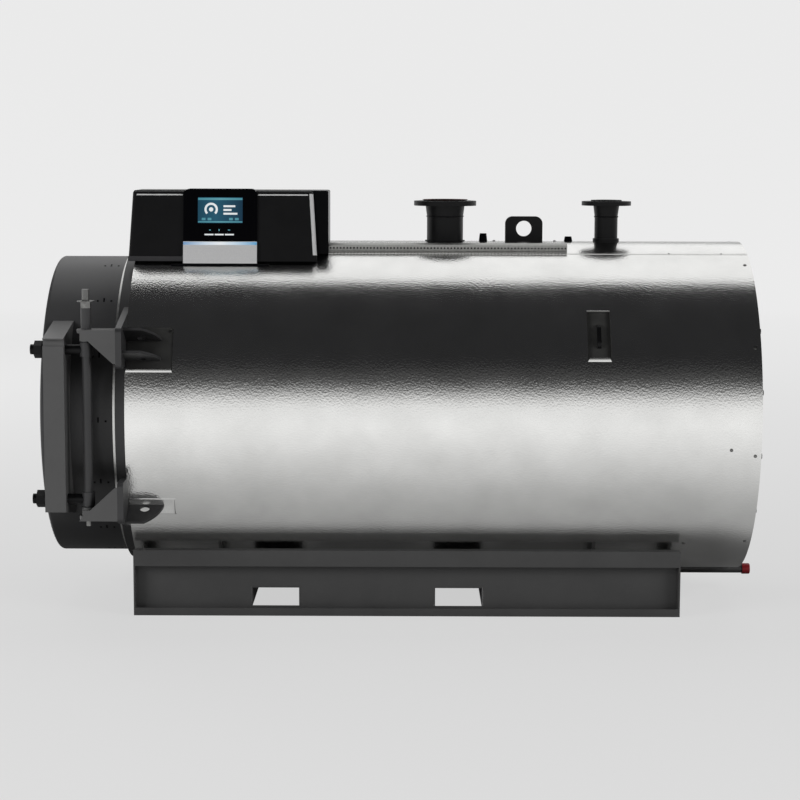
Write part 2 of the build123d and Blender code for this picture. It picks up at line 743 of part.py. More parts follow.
def hinge():
    nodes["hinge_brackets"] = Compound(both(bracket(1)) + both(bracket(-1)))

    def rod(r, z0, z1):
        return rod_z(r, axis_z + z0, axis_z + z1, pin_x, -pin_y)

    nut_low = bracket_high + sleeve_height
    nut_top = nut_low + nut_height
    pin_top = nut_top + washer_t + pin_proud
    pin = rod(pin_r, -bracket_high, pin_top) + rod(pin_foot_r, -bracket_high - pin_foot, -bracket_high)
    nodes["hinge_pins"] = Compound(both(pin))
    hole = rod(pin_r + running, bracket_high - past, pin_top)
    nodes["pin_sleeves"] = Compound(both(rod(sleeve_r, bracket_high, nut_low) - hole))
    nut = Pos(pin_x, -pin_y, axis_z + nut_low) * extrude(
        RegularPolygon(nut_flats / 2, 6, major_radius=False), nut_height)
    nodes["pin_nuts"] = Compound(both(nut + rod(washer_r, nut_top, nut_top + washer_t) - hole))

    bolt_z = arm_half - bolt_inset
    post_end = bracket_high - bracket_t - boss_height - post_play
    post = rod(post_r, -post_end, post_end)
    for z in (-bolt_z, bolt_z):
        post += rod(eye_r, z - eye_half, z + eye_half)
    post -= rod(pin_r + running, -post_end - past, post_end + past)
    nodes["near_hinge_post"] = post
    nodes["far_hinge_post"] = far(post)

    arm_front = door_front + arm_inset
    arm_back = arm_front + arm_width
    arm_outer = pin_y + arm_margin
    root_half = arm_half + arm_slope
    inner = sqrt(door_r ** 2 - root_half ** 2) - arm_root

    def arm_section(y, half):
        return Plane(origin=(0, -y, axis_z), z_dir=(0, -1, 0), x_dir=(1, 0, 0)) * make_face(Polyline(
            (arm_front, -half), (arm_back, -half), (arm_back, half), (arm_front, half), close=True))

    arm = loft([arm_section(inner, root_half), arm_section(arm_outer, arm_half)])
    arm -= rod_x(door_r + seat, arm_front - past, arm_back + past)
    groove_top = axis_z + arm_half - arm_lip
    arm -= box(arm_front - past, arm_back + past, -arm_outer - past, -arm_outer + groove_depth,
               groove_top - groove_height, groove_top)
    shanks = []
    for z in (axis_z - bolt_z, axis_z + bolt_z):
        arm -= rod_x(bolt_r + slip, arm_front - past, arm_back + past, -pin_y, z)
        nut_back = arm_front - bolt_washer_t
        nut_front = nut_back - bolt_nut_t
        bolt = rod_x(bolt_r, nut_front - bolt_end, pin_x, -pin_y, z)
        bolt -= rod_z(eye_r + seat, z - 2 * bolt_r, z + 2 * bolt_r, pin_x, -pin_y)
        bolt += rod_x(bolt_washer_r, nut_back, arm_front, -pin_y, z)
        shanks.append(bolt + hex_bar(bolt_nut_flats, nut_front, nut_back, -pin_y, z))
    nodes["door_arms"] = Compound(both(arm))
    nodes["door_bolts"] = Compound(shanks + [far(shank) for shank in shanks])


pressure_body()
lagging()
front_flange()
gussets()
lashing_lugs()
base_frame()
necks()
top_fittings()
cable_duct()
panel()
drain()
door()
hinge()

os.makedirs("parts", exist_ok=True)
for name, shape in nodes.items():
    export_step(shape, f"parts/{name}.step")
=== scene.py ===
import json
import math

import bpy
from mathutils import Matrix, Vector


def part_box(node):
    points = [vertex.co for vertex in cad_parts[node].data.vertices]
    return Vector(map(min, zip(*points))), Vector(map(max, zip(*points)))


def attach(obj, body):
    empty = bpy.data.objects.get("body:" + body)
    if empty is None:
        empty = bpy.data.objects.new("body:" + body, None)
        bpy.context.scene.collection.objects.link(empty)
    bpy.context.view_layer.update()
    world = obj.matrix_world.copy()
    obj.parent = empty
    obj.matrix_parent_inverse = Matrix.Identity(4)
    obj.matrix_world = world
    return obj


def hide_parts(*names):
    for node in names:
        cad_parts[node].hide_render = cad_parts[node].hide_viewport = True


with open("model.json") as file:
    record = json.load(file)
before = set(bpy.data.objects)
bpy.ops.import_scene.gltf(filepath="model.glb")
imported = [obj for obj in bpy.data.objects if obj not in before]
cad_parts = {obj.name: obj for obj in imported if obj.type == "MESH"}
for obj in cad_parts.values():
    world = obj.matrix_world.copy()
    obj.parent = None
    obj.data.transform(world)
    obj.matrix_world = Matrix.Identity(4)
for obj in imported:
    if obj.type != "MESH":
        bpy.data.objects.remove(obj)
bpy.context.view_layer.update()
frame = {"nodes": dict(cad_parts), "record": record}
nodes = frame["nodes"]
mm = 0.001
print("frame loaded with", len(nodes), "nodes")


# Camera, as worked out from the straight edges of the base, the flanges and the panel
shot = {"place": (-0.0131, -7.9382, 1.7376), "pitch": 7.064, "yaw": -0.111, "roll": 0.174, "lens": 92.08}


def setCamera():
    pitch, yaw, roll = (math.radians(shot[name]) for name in ("pitch", "yaw", "roll"))
    ahead = Vector((math.sin(yaw) * math.cos(pitch), math.cos(yaw) * math.cos(pitch), -math.sin(pitch)))
    level = Vector((math.cos(yaw), -math.sin(yaw), 0))
    upright = level.cross(ahead)
    right = math.cos(roll) * level + math.sin(roll) * upright
    top = math.cos(roll) * upright - math.sin(roll) * level
    bpy.ops.object.camera_add()
    camera = bpy.context.object
    camera.matrix_world = Matrix.Translation(shot["place"]) @ Matrix((right, top, -ahead)).transposed().to_4x4()
    camera.data.lens = shot["lens"]  # mm on a 36 mm sensor
    bpy.context.scene.camera = camera
    print("camera set")


def begin():  # object mode with nothing selected
    if bpy.context.mode != "OBJECT":
        bpy.ops.object.mode_set(mode="OBJECT")
    bpy.ops.object.select_all(action="DESELECT")


begin()
setCamera()


# Colours and nodes
def colour(hexCode):  # sRGB hex to linear
    parts = [int(hexCode[i:i + 2], 16) / 255 for i in (1, 3, 5)]
    return tuple(c / 12.92 if c <= 0.04045 else ((c + 0.055) / 1.055) ** 2.4 for c in parts) + (1.0,)


def perMetre(size):  # texture scale for a pattern of this size in millimetres
    return 1 / (size * mm)


def addNode(tree, kind, settings={}, links={}):
    node = tree.nodes.new(kind)
    for name, value in settings.items():
        if name == "stops":
            ramp = node.color_ramp
            while len(ramp.elements) < len(value):
                ramp.elements.new(0.5)
            for stop, (place, shade) in zip(ramp.elements, value):
                stop.position = place
                stop.color = shade if isinstance(shade, tuple) else (shade, shade, shade, 1)
        elif isinstance(name, str) and hasattr(node, name):
            setattr(node, name, value)
        else:
            node.inputs[name].default_value = value
    for socket, source in links.items():
        tree.links.new(source, node.inputs[socket])
    return node


def newMaterial(name):
    material = bpy.data.materials.new(name)
    material.use_nodes = True
    material.node_tree.nodes.clear()
    return material, material.node_tree


# Studio: a pale round floor that turns up into a pale wall, a dark ceiling and four soft lamps
studio = {"radius": 14.0, "cove": 1.2, "coveSteps": 8, "wall": 9.5, "sides": 96, "drop": 0.0004,
          "pale": "#fafafa", "floor": "#777777", "dark": "#2a2a2b", "dim": 1.0}
lamps = {
    "overhead": {"place": (0, 6.25, 8.4), "aim": (0, 1.0, 0.9), "size": (12, 12), "power": 430},
    "left": {"place": (-6.4, -4.6, 3.4), "aim": (0, 0, 0.8), "size": (3.5, 3.5), "power": 250},
    "right": {"place": (6.6, -4.2, 3.2), "aim": (0, 0, 0.8), "size": (3.5, 3.5), "power": 230},
    "back": {"place": (-5.5, 6.5, 4.2), "aim": (0, 0, 0.9), "size": (3.5, 3.5), "power": 130},
}
# How strongly floor and wall glow, as shares of the reach from the object: to the eye, and in mirrors,
# where the glow also fades up the wall. The object's own length is taken off first. In mirrors the glow stays
# almost nil close to the object: painted shade of the floor round it
glows = {"reach": 14.0, "looked": ((0.06, 0.62), (0.45, 0.70), (1.0, 0.84)), "fade": (2.4, 6.0), "faded": 0.03,
         "halfLength": 1.1, "mirrored": ((0.030, 0.03), (0.040, 0.30), (0.061, 0.39), (0.095, 0.58), (0.174, 0.79),
                                         (0.30, 0.84), (0.33, 0.92))}


def stageMaterial(name, shade):  # matt paint that stays pale where it is looked at
    material, tree = newMaterial(name)
    path = addNode(tree, "ShaderNodeLightPath")
    place = addNode(tree, "ShaderNodeTexCoord").outputs["Object"]
    past = addNode(tree, "ShaderNodeVectorMath", {"operation": "ABSOLUTE"}, {0: place})
    past = addNode(tree, "ShaderNodeVectorMath", {"operation": "SUBTRACT", 1: (glows["halfLength"], 0, 0)},
                   {0: past.outputs[0]})
    past = addNode(tree, "ShaderNodeVectorMath", {"operation": "MAXIMUM", 1: (0, 0, 0)}, {0: past.outputs[0]})
    away = addNode(tree, "ShaderNodeVectorMath", {"operation": "LENGTH"}, {0: past.outputs[0]})
    away = addNode(tree, "ShaderNodeMapRange", {"From Max": glows["reach"]}, {"Value": away.outputs["Value"]})
    looked, mirrored = (
        addNode(tree, "ShaderNodeValToRGB", {"stops": glows[kind]}, {"Fac": away.outputs["Result"]})
        for kind in ("looked", "mirrored"))
    height = addNode(tree, "ShaderNodeSeparateXYZ", {}, {0: place})
    fade = addNode(tree, "ShaderNodeMapRange",
                   {"From Min": glows["fade"][0], "From Max": glows["fade"][1],
                    "To Min": 1.0, "To Max": glows["faded"]}, {"Value": height.outputs["Z"]})
    mirrored = addNode(tree, "ShaderNodeMath", {"operation": "MULTIPLY"},
                       {0: mirrored.outputs["Color"], 1: fade.outputs["Result"]})
    seen = addNode(tree, "ShaderNodeMath", {"operation": "ADD"},
                   {0: path.outputs["Is Camera Ray"], 1: path.outputs["Is Transmission Ray"]})
    seen = addNode(tree, "ShaderNodeMath", {"operation": "MULTIPLY"},
                   {0: seen.outputs[0], 1: looked.outputs["Color"]})
    seen = addNode(tree, "ShaderNodeMath", {"operation": "MULTIPLY_ADD"},
                   {0: path.outputs["Is Glossy Ray"], 1: mirrored.outputs[0], 2: seen.outputs[0]})
    matt = addNode(tree, "ShaderNodeBsdfDiffuse", {"Color": colour(shade)})
    light = addNode(tree, "ShaderNodeEmission", {"Color": colour(studio["pale"])}, {"Strength": seen.outputs[0]})
    both = addNode(tree, "ShaderNodeAddShader", {}, {0: matt.outputs[0], 1: light.outputs[0]})
    addNode(tree, "ShaderNodeOutputMaterial", {}, {"Surface": both.outputs[0]})
    return material


def buildStudio():
    paint = stageMaterial("studio paint", studio["floor"])
    bpy.ops.mesh.primitive_circle_add(vertices=studio["sides"], radius=studio["radius"], fill_type="NGON",
                                      location=(0, 0, -studio["drop"]))
    floor = bpy.context.object
    floor.name = "studio_floor"
    floor.data.materials.append(paint)
    begin()
    bpy.ops.mesh.primitive_circle_add(vertices=studio["sides"], radius=studio["radius"], fill_type="NOTHING",
                                      location=(0, 0, -studio["drop"]))
    wall = bpy.context.object
    wall.name = "studio_wall"
    bpy.ops.object.mode_set(mode="EDIT")
    bpy.ops.mesh.select_all(action="SELECT")
    radius, height = studio["radius"], 0.0
    for step in range(1, studio["coveSteps"] + 1):  # cove between floor and wall, then the wall itself
        turn = math.radians(90 * step / studio["coveSteps"])
        wide = studio["radius"] + studio["cove"] * math.sin(turn)
        high = studio["cove"] * (1 - math.cos(turn))
        bpy.ops.mesh.extrude_edges_move(TRANSFORM_OT_translate={"value": (0, 0, high - height)})
        bpy.ops.transform.resize(value=(wide / radius, wide / radius, 1))
        radius, height = wide, high
    bpy.ops.mesh.extrude_edges_move(TRANSFORM_OT_translate={"value": (0, 0, studio["wall"] - height)})
    bpy.ops.object.mode_set(mode="OBJECT")
    bpy.ops.object.shade_smooth()
    wall.data.materials.append(paint)

    world = bpy.data.worlds.new("studio ceiling")
    bpy.context.scene.world = world
    world.use_nodes = True
    world.node_tree.nodes.clear()
    ceiling = addNode(world.node_tree, "ShaderNodeBackground",
                      {"Color": colour(studio["dark"]), "Strength": studio["dim"]})
    addNode(world.node_tree, "ShaderNodeOutputWorld", {}, {"Surface": ceiling.outputs[0]})

    for name, lamp in lamps.items():
        begin()
        bpy.ops.object.light_add(type="AREA", location=lamp["place"])
        softbox = bpy.context.object
        softbox.name = "lamp_" + name
        softbox.data.shape = "RECTANGLE"
        softbox.data.size, softbox.data.size_y = lamp["size"]
        softbox.data.energy = lamp["power"]
        softbox.rotation_euler = (Vector(lamp["aim"]) - Vector(lamp["place"])).to_track_quat("-Z", "Y").to_euler()
        softbox.visible_camera = False
        softbox.visible_glossy = name == "overhead"  # the side lamps light without a hot spot
    bpy.context.scene.view_settings.view_transform = "Standard"
    print("studio built")


begin()
buildStudio()


# Finishes
def twoShades(look, low, high):  # stops of a ramp between the finish's two shades
    return [(step, colour(code)) for step, code in zip((low, high), look["shades"])]


def makeFinish(name, look):  # paint, plastic or metal with mottling, a roughness that varies and a fine grain
    material, tree = newMaterial(name)
    place = addNode(tree, "ShaderNodeTexCoord").outputs["Object"]
    mottle = addNode(tree, "ShaderNodeTexNoise",
                     {"Scale": perMetre(look["mottle"]), "Detail": 6, "Roughness": 0.6}, {"Vector": place})
    shade = addNode(tree, "ShaderNodeValToRGB", {"stops": twoShades(look, 0.3, 0.7)}, {"Fac": mottle.outputs["Fac"]})
    grain = addNode(tree, "ShaderNodeTexNoise", {"Scale": perMetre(look["grain"]), "Detail": 3}, {"Vector": place})
    sheen = addNode(tree, "ShaderNodeMapRange", {"To Min": look["rough"][0], "To Max": look["rough"][1]},
                    {"Value": mottle.outputs["Fac"]})
    relief = addNode(tree, "ShaderNodeBump", {"Strength": 1.0, "Distance": look["depth"] * mm},
                     {"Height": grain.outputs["Fac"]})
    shader = addNode(tree, "ShaderNodeBsdfPrincipled",
                     {"Metallic": look.get("metallic", 0.0), "Coat Weight": look.get("coat", 0.0),
                      "Specular IOR Level": look.get("gleam", 0.5)},
                     {"Base Color": shade.outputs["Color"], "Roughness": sheen.outputs["Result"],
                      "Normal": relief.outputs["Normal"]})
    addNode(tree, "ShaderNodeOutputMaterial", {}, {"Surface": shader.outputs[0]})
    return material


def makeStucco(name, look):  # rolled sheet with a pressed orange-peel pattern, mirror-bright between the dimples
    material, tree = newMaterial(name)
    place = addNode(tree, "ShaderNodeTexCoord").outputs["Object"]
    drift = addNode(tree, "ShaderNodeTexNoise", {"Scale": perMetre(look["peel"] * look["drift"]), "Detail": 1},
                    {"Vector": place})
    bent = addNode(tree, "ShaderNodeVectorMath", {"operation": "MULTIPLY_ADD", 1: (look["peel"] * mm,) * 3},
                   {0: drift.outputs["Color"], 2: place})
    dimple = addNode(tree, "ShaderNodeTexVoronoi", {"feature": "SMOOTH_F1", "Scale": perMetre(look["peel"]),
                                                    "Smoothness": 0.7}, {"Vector": bent.outputs[0]})
    press = addNode(tree, "ShaderNodeBump", {"Strength": 1.0, "Distance": look["depth"] * mm},
                    {"Height": dimple.outputs["Distance"]})
    wave = addNode(tree, "ShaderNodeTexNoise", {"Scale": perMetre(look["wave"]), "Detail": 2}, {"Vector": place})
    sheet = addNode(tree, "ShaderNodeBump", {"Strength": 1.0, "Distance": look["waveDepth"] * mm},
                    {"Height": wave.outputs["Fac"], "Normal": press.outputs["Normal"]})
    cloud = addNode(tree, "ShaderNodeTexNoise", {"Scale": perMetre(look["cloud"]), "Detail": 4}, {"Vector": place})
    shade = addNode(tree, "ShaderNodeValToRGB", {"stops": twoShades(look, 0.3, 0.7)}, {"Fac": cloud.outputs["Fac"]})
    haze = addNode(tree, "ShaderNodeMapRange", {"To Min": look["rough"][0], "To Max": look["rough"][1]},
                   {"Value": cloud.outputs["Fac"]})
    shader = addNode(tree, "ShaderNodeBsdfPrincipled", {"Metallic": 1.0},
                     {"Base Color": shade.outputs["Color"], "Roughness": haze.outputs["Result"],
                      "Normal": sheet.outputs["Normal"]})
    addNode(tree, "ShaderNodeOutputMaterial", {}, {"Surface": shader.outputs[0]})
    return material


def makeSpangle(name, look):  # hot-dip zinc with crystal patches that differ in brightness and gloss
    material, tree = newMaterial(name)
    place = addNode(tree, "ShaderNodeTexCoord").outputs["Object"]
    crystal = addNode(tree, "ShaderNodeTexVoronoi", {"Scale": perMetre(look["spangle"])}, {"Vector": place})
    shade = addNode(tree, "ShaderNodeValToRGB", {"stops": twoShades(look, 0.0, 1.0)},
                    {"Fac": crystal.outputs["Color"]})
    gloss = addNode(tree, "ShaderNodeMapRange", {"To Min": look["rough"][0], "To Max": look["rough"][1]},
                    {"Value": crystal.outputs["Color"]})
    grain = addNode(tree, "ShaderNodeTexNoise", {"Scale": perMetre(look["grain"]), "Detail": 3}, {"Vector": place})
    relief = addNode(tree, "ShaderNodeBump", {"Strength": 1.0, "Distance": look["depth"] * mm},
                     {"Height": grain.outputs["Fac"]})
    shader = addNode(tree, "ShaderNodeBsdfPrincipled", {"Metallic": 1.0},
                     {"Base Color": shade.outputs["Color"], "Roughness": gloss.outputs["Result"],
                      "Normal": relief.outputs["Normal"]})
    addNode(tree, "ShaderNodeOutputMaterial", {}, {"Surface": shader.outputs[0]})
    return material


# Stucco-embossed bright aluminium: long mirror bands along the drum, broken up where the dimples catch the light
# The real dimples are about 5 mm, drawn at 6.5 mm so that they show in the render
stuccoAluminium = makeStucco("stucco embossed aluminium", {
    "shades": ("#e6e6e4", "#f2f2f0"), "peel": 6.5, "drift": 1.6, "depth": 0.36, "wave": 420, "waveDepth": 0.8,
    "cloud": 160, "rough": (0.15, 0.21)})
# Plain rolled aluminium of the folded lips and seam strips: smoother and a little brighter than the stucco sheet
plainAluminium = makeFinish("rolled aluminium", {
    "shades": ("#dededc", "#ebebe9"), "mottle": 60, "grain": 3, "depth": 0.02, "rough": (0.18, 0.3),
    "metallic": 1.0})
# Anthracite powder coat on welded steel: satin, with a faint orange peel that softens the highlights
doorPaint = makeFinish("anthracite powder coat", {
    "shades": ("#3d3d3e", "#464647"), "mottle": 240, "grain": 2.5, "depth": 0.05, "rough": (0.36, 0.46)})
# The same coat on the flat hinge plates and arms, drawn lighter: painted light for the brighter light these
# front-facing plates catch
armCoatPaintedLight = makeFinish("anthracite coat on plates painted lighter", {
    "shades": ("#606060", "#6a6a6a"), "mottle": 240, "grain": 2.5, "depth": 0.05, "rough": (0.36, 0.46)})
# The same coat on the base frame, drawn a lighter neutral grey: painted light for the bright floor its faces
# reflect; more matt from dust and handling
frameCoatPaintedLight = makeFinish("base frame powder coat painted lighter", {
    "shades": ("#4c4c4c", "#565656"), "mottle": 200, "grain": 2.5, "depth": 0.06, "rough": (0.4, 0.52)})
# Near-black brushed-on paint of the necks, lugs and bolts: rougher, with dull and shiny patches
neckPaint = makeFinish("black neck paint", {
    "shades": ("#0c0c0d", "#161617"), "mottle": 45, "grain": 3, "depth": 0.12, "rough": (0.3, 0.55),
    "gleam": 0.2})
# Zinc plated nuts, studs and collars: mid-grey metal with a soft sheen
zincSteel = makeFinish("zinc plated steel", {
    "shades": ("#6e6e6d", "#8e8e8c"), "mottle": 18, "grain": 1.5, "depth": 0.02, "rough": (0.28, 0.42),
    "metallic": 1.0})
# Galvanised sealing ring: pale and even, so it reads as a bright line round the door
ringSteel = makeSpangle("galvanised ring steel", {
    "shades": ("#cfcfcd", "#e2e2e0"), "spangle": 14, "grain": 2, "depth": 0.02, "rough": (0.28, 0.42)})
# Galvanised duct sheet: duller zinc with small spangles
ductSteel = makeSpangle("galvanised duct sheet", {
    "shades": ("#a2a2a0", "#b8b8b5"), "spangle": 9, "grain": 2, "depth": 0.02, "rough": (0.38, 0.52)})
# Boiler plate with mill scale: dark grey-brown, blotchy and dry
boilerPlate = makeFinish("boiler plate with mill scale", {
    "shades": ("#353433", "#4e4c49"), "mottle": 70, "grain": 4, "depth": 0.15, "rough": (0.55, 0.8),
    "metallic": 0.2})
# Foil facing of the wool mat: thin crumpled aluminium, dull and light where it catches the floor
wrapFoil = makeFinish("crumpled aluminium foil", {
    "shades": ("#757573", "#878784"), "mottle": 30, "grain": 9, "depth": 1.0, "rough": (0.4, 0.55),
    "metallic": 0.35})
# Backs of the cut-outs: coated sheet, dull so it takes no mirror image of the fins, drawn dark grey: painted
# reflection of the dark ceiling the jacket round it mirrors
backSheetPaintedDark = makeFinish("dull coated sheet painted dark", {
    "shades": ("#3a3a39", "#444443"), "mottle": 60, "grain": 3, "depth": 0.06, "rough": (0.5, 0.62),
    "gleam": 0.3})
# Cast refractory: sandy, pitted and matt
castRefractory = makeFinish("cast refractory", {
    "shades": ("#9c8e78", "#c6baa3"), "mottle": 35, "grain": 5, "depth": 0.8, "rough": (0.85, 0.97)})
# Grained ABS of the panel covers: almost black with a fine spark-eroded texture
coverPlastic = makeFinish("grained black abs", {
    "shades": ("#151516", "#1c1c1d"), "mottle": 150, "grain": 1.6, "depth": 0.04, "rough": (0.4, 0.5),
    "gleam": 0.15})
# The grey strip at the foot of the left cover: the same plastic, a lighter mix
stripPlastic = makeFinish("grained grey abs", {
    "shades": ("#2d2d2f", "#363638"), "mottle": 120, "grain": 1.6, "depth": 0.04, "rough": (0.4, 0.5),
    "gleam": 0.4})
# Black display housing, case and lens: deep black with a faint gloss; on the door's small marks and the strip behind
# the duct's slots the same black is painted shade
blackGlossAndShade = makeFinish("black polycarbonate and painted shade", {
    "shades": ("#020204", "#040407"), "mottle": 200, "grain": 6, "depth": 0.004, "rough": (0.25, 0.32),
    "gleam": 0.06})
# Painted highlight: pale satin strips that read as thin bright lines along the covers, for the light caught on their
# rounded edges
edgeHighlightPaint = makeFinish("painted edge highlight", {
    "shades": ("#f2f2f2", "#fafafa"), "mottle": 20, "grain": 1.5, "depth": 0.01, "rough": (0.32, 0.42),
    "metallic": 0.15})
# Silver lacquer of the fascia: fine metallic flake under clear coat
silverLacquer = makeFinish("silver lacquer", {
    "shades": ("#ebebec", "#f5f5f5"), "mottle": 4, "grain": 1.2, "depth": 0.01, "rough": (0.36, 0.46),
    "metallic": 0.1, "coat": 0.2})
# Red-brown primer on the sealing face of the flow neck: dull, with darker rubbed patches
facePrimer = makeFinish("red-brown primer", {
    "shades": ("#3a2422", "#5c3431"), "mottle": 30, "grain": 3, "depth": 0.08, "rough": (0.6, 0.8),
    "gleam": 0.2})
# Moulded red cap: soft polyethylene, satin and slightly faded
redPlastic = makeFinish("red polyethylene", {
    "shades": ("#96252b", "#a93238"), "mottle": 12, "grain": 2, "depth": 0.03, "rough": (0.4, 0.5)})


def makeLit(name, look):  # back-lit glass: colour shading across the lit area, with a plain glossy surface
    material, tree = newMaterial(name)
    place = addNode(tree, "ShaderNodeTexCoord").outputs["Object"]
    part = addNode(tree, "ShaderNodeSeparateXYZ", {}, {0: place})
    across = addNode(tree, "ShaderNodeMapRange", {"From Min": look["span"][0], "From Max": look["span"][1]},
                     {"Value": part.outputs["X"]})
    shade = addNode(tree, "ShaderNodeValToRGB",
                    {"stops": [(step, colour(code)) for step, code in look["shades"]]},
                    {"Fac": across.outputs["Result"]})
    shader = addNode(tree, "ShaderNodeBsdfPrincipled",
                     {"Base Color": colour("#050608"), "Roughness": 0.3, "Specular IOR Level": 0.2,
                      "Emission Strength": look["strength"]}, {"Emission Color": shade.outputs["Color"]})
    addNode(tree, "ShaderNodeOutputMaterial", {}, {"Surface": shader.outputs[0]})
    return material


# Lit screen: teal, brighter towards the middle
litScreen = makeLit("lit display glass", {
    "span": (-0.79, -0.61), "strength": 0.75,
    "shades": ((0.0, "#1d4a5e"), (0.4, "#2a6078"), (1.0, "#17364c"))})
# Bands and keys on the screen: a lighter teal
litTeal = makeLit("lit display bands", {
    "span": (-0.79, -0.61), "strength": 0.8, "shades": ((0.0, "#4d93a3"), (0.5, "#66a9b6"), (1.0, "#4f94a4"))})
# White marks of the screen and the keys
litWhite = makeLit("lit display marks", {
    "span": (-0.79, -0.61), "strength": 0.9, "shades": ((0.0, "#dfe6e8"), (0.5, "#f4f7f8"), (1.0, "#e2e8ea"))})
# Light strip of the fascia: blue at the ends and white in the middle
litStrip = makeLit("lit fascia strip", {
    "span": (-0.838, -0.563), "strength": 0.85,
    "shades": ((0.0, "#7ba3cc"), (0.3, "#d3e2f0"), (0.5, "#f4f8fb"), (0.7, "#cfe3f2"), (1.0, "#62a7d4"))})

finishOfSlot = {
    "stucco_aluminium": stuccoAluminium, "anthracite_paint": doorPaint, "black_paint": neckPaint,
    "zinc_steel": zincSteel, "bright_ring": ringSteel, "boiler_steel": boilerPlate, "mineral_wool": wrapFoil,
    "refractory": castRefractory, "grey_plastic": coverPlastic, "black_plastic": blackGlossAndShade,
    "silver_plastic": silverLacquer, "display_glass": litScreen, "duct_steel": ductSteel,
    "red_plastic": redPlastic,
}
# Arms and hinge brackets take the coat drawn lighter as painted light; bolts and lugs take the black paint
finishOfNode = {"door_arms": armCoatPaintedLight, "hinge_brackets": armCoatPaintedLight, "door_bolts": neckPaint,
                "lashing_lugs": neckPaint, "panel_case": blackGlossAndShade}
# The base frame takes the coat drawn lighter as painted light
for frameNode in ("near_base_beam", "far_base_beam", "cross_angles", "fork_tunnels", "saddles", "drain_pipe"):
    finishOfNode[frameNode] = frameCoatPaintedLight


def dressNodes():
    for row in frame["record"]["subparts"]:
        node = nodes[row["node"]]
        finish = finishOfNode.get(row["node"], finishOfSlot[row["material_slot"]])
        node.data.materials.clear()
        node.data.materials.append(finish)
    print("CAD nodes dressed")


dressNodes()


# Modelling helpers
def leaveEdit():
    bpy.ops.object.mode_set(mode="OBJECT")


def choose(piece):
    begin()
    piece.select_set(True)
    bpy.context.view_layer.objects.active = piece


def settle(piece):  # place, turn and scale go into the mesh
    choose(piece)
    bpy.ops.object.transform_apply(location=True, rotation=True, scale=True)
    return piece


def block(name, low, high):  # corners in metres
    begin()
    bpy.ops.mesh.primitive_cube_add(size=1, location=[(a + b) / 2 for a, b in zip(low, high)])
    piece = bpy.context.object
    piece.name = name
    piece.scale = [b - a for a, b in zip(low, high)]
    return settle(piece)


def barrel(name, radius, low, high, sides=32, ends="NGON"):  # upright on the origin
    begin()
    bpy.ops.mesh.primitive_cylinder_add(vertices=sides, radius=radius, depth=high - low,
                                        location=(0, 0, (low + high) / 2), end_fill_type=ends)
    piece = bpy.context.object
    piece.name = name
    return settle(piece)


def editItems(piece, kind, items, wanted):  # edit mode with the wanted faces or vertices selected
    choose(piece)
    bpy.ops.object.mode_set(mode="EDIT")
    bpy.ops.mesh.select_mode(type=kind)
    bpy.ops.mesh.select_all(action="DESELECT")
    leaveEdit()
    for item in getattr(piece.data, items):
        item.select = wanted(item)
    bpy.ops.object.mode_set(mode="EDIT")


def editFaces(piece, wanted):  # wanted by their centre and normal
    editItems(piece, "FACE", "polygons", lambda face: wanted(face.center, face.normal))


def editTop(piece):  # the faces that look up
    editFaces(piece, lambda centre, normal: normal.z > 0.9)


def editCorners(piece, wanted):  # vertices, wanted by their place
    editItems(piece, "VERT", "vertices", lambda corner: wanted(corner.co))


def modify(piece, kind, **settings):  # adds a modifier and applies it
    modifier = piece.modifiers.new(kind.lower(), kind)
    for name, value in settings.items():
        setattr(modifier, name, value)
    choose(piece)
    bpy.ops.object.modifier_apply(modifier=modifier.name)
    return piece


def soften(piece, width, segments=2):
    return modify(piece, "BEVEL", width=width * mm, segments=segments, limit_method="ANGLE",
                  angle_limit=math.radians(40))


def joined(name, pieces):
    begin()
    for piece in pieces:
        piece.select_set(True)
    bpy.context.view_layer.objects.active = pieces[0]
    if len(pieces) > 1:
        bpy.ops.object.join()
    pieces[0].name = name
    return pieces[0]


def copied(name, piece, places):  # a copy with its own mesh at each place
    twins = []
    for place in places:
        twin = piece.copy()
        twin.data = piece.data.copy()
        bpy.context.scene.collection.objects.link(twin)
        twin.data.transform(place)
        if place.determinant() < 0:
            twin.data.flip_normals()
        twins.append(twin)
    bpy.data.objects.remove(piece)
    return joined(name, twins)


def handOver(piece, body, slot, finish, smooth=35):
    choose(piece)
    bpy.ops.object.mode_set(mode="EDIT")
    bpy.ops.mesh.select_all(action="SELECT")
    bpy.ops.mesh.normals_make_consistent(inside=False)
    leaveEdit()
    bpy.ops.object.shade_smooth_by_angle(angle=math.radians(smooth))
    piece.data.materials.clear()
    piece.data.materials.append(finish)
    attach(piece, body)
    return piece


def turnedAbout(axis, degrees):
    return Matrix.Rotation(math.radians(degrees), 4, axis)


jacketLow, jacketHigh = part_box("jacket")
jacketRadius = (jacketHigh.z - jacketLow.z) / 2
axisZ = (jacketHigh.z + jacketLow.z) / 2


def onDrum(x, degrees, radius):  # x runs along the boiler, y up round the drum, z straight out of it
    turn = math.radians(degrees)
    out = Vector((0, -math.cos(turn), math.sin(turn)))
    along = Vector((1, 0, 0))
    place = Matrix((along, out.cross(along), out)).transposed().to_4x4()
    place.translation = Vector((x, 0, axisZ)) + radius * out
    return place


mirrorFar = Matrix.Scale(-1, 4, (0, 1, 0))


# Lap seams of the jacket sheets, with their rivets
seams = {"runs": ((70.2, -0.2985), (109.8, -1.0195)), "width": 13, "thick": 0.9, "bed": 0.3, "crown": (2.0, 0.3),
         "fold": 0.25, "short": 1.0, "pitch": 190,
         "rivet": 3.2, "rivetHigh": 1.6, "rivetRound": 1.1, "rivetLift": 1.0}


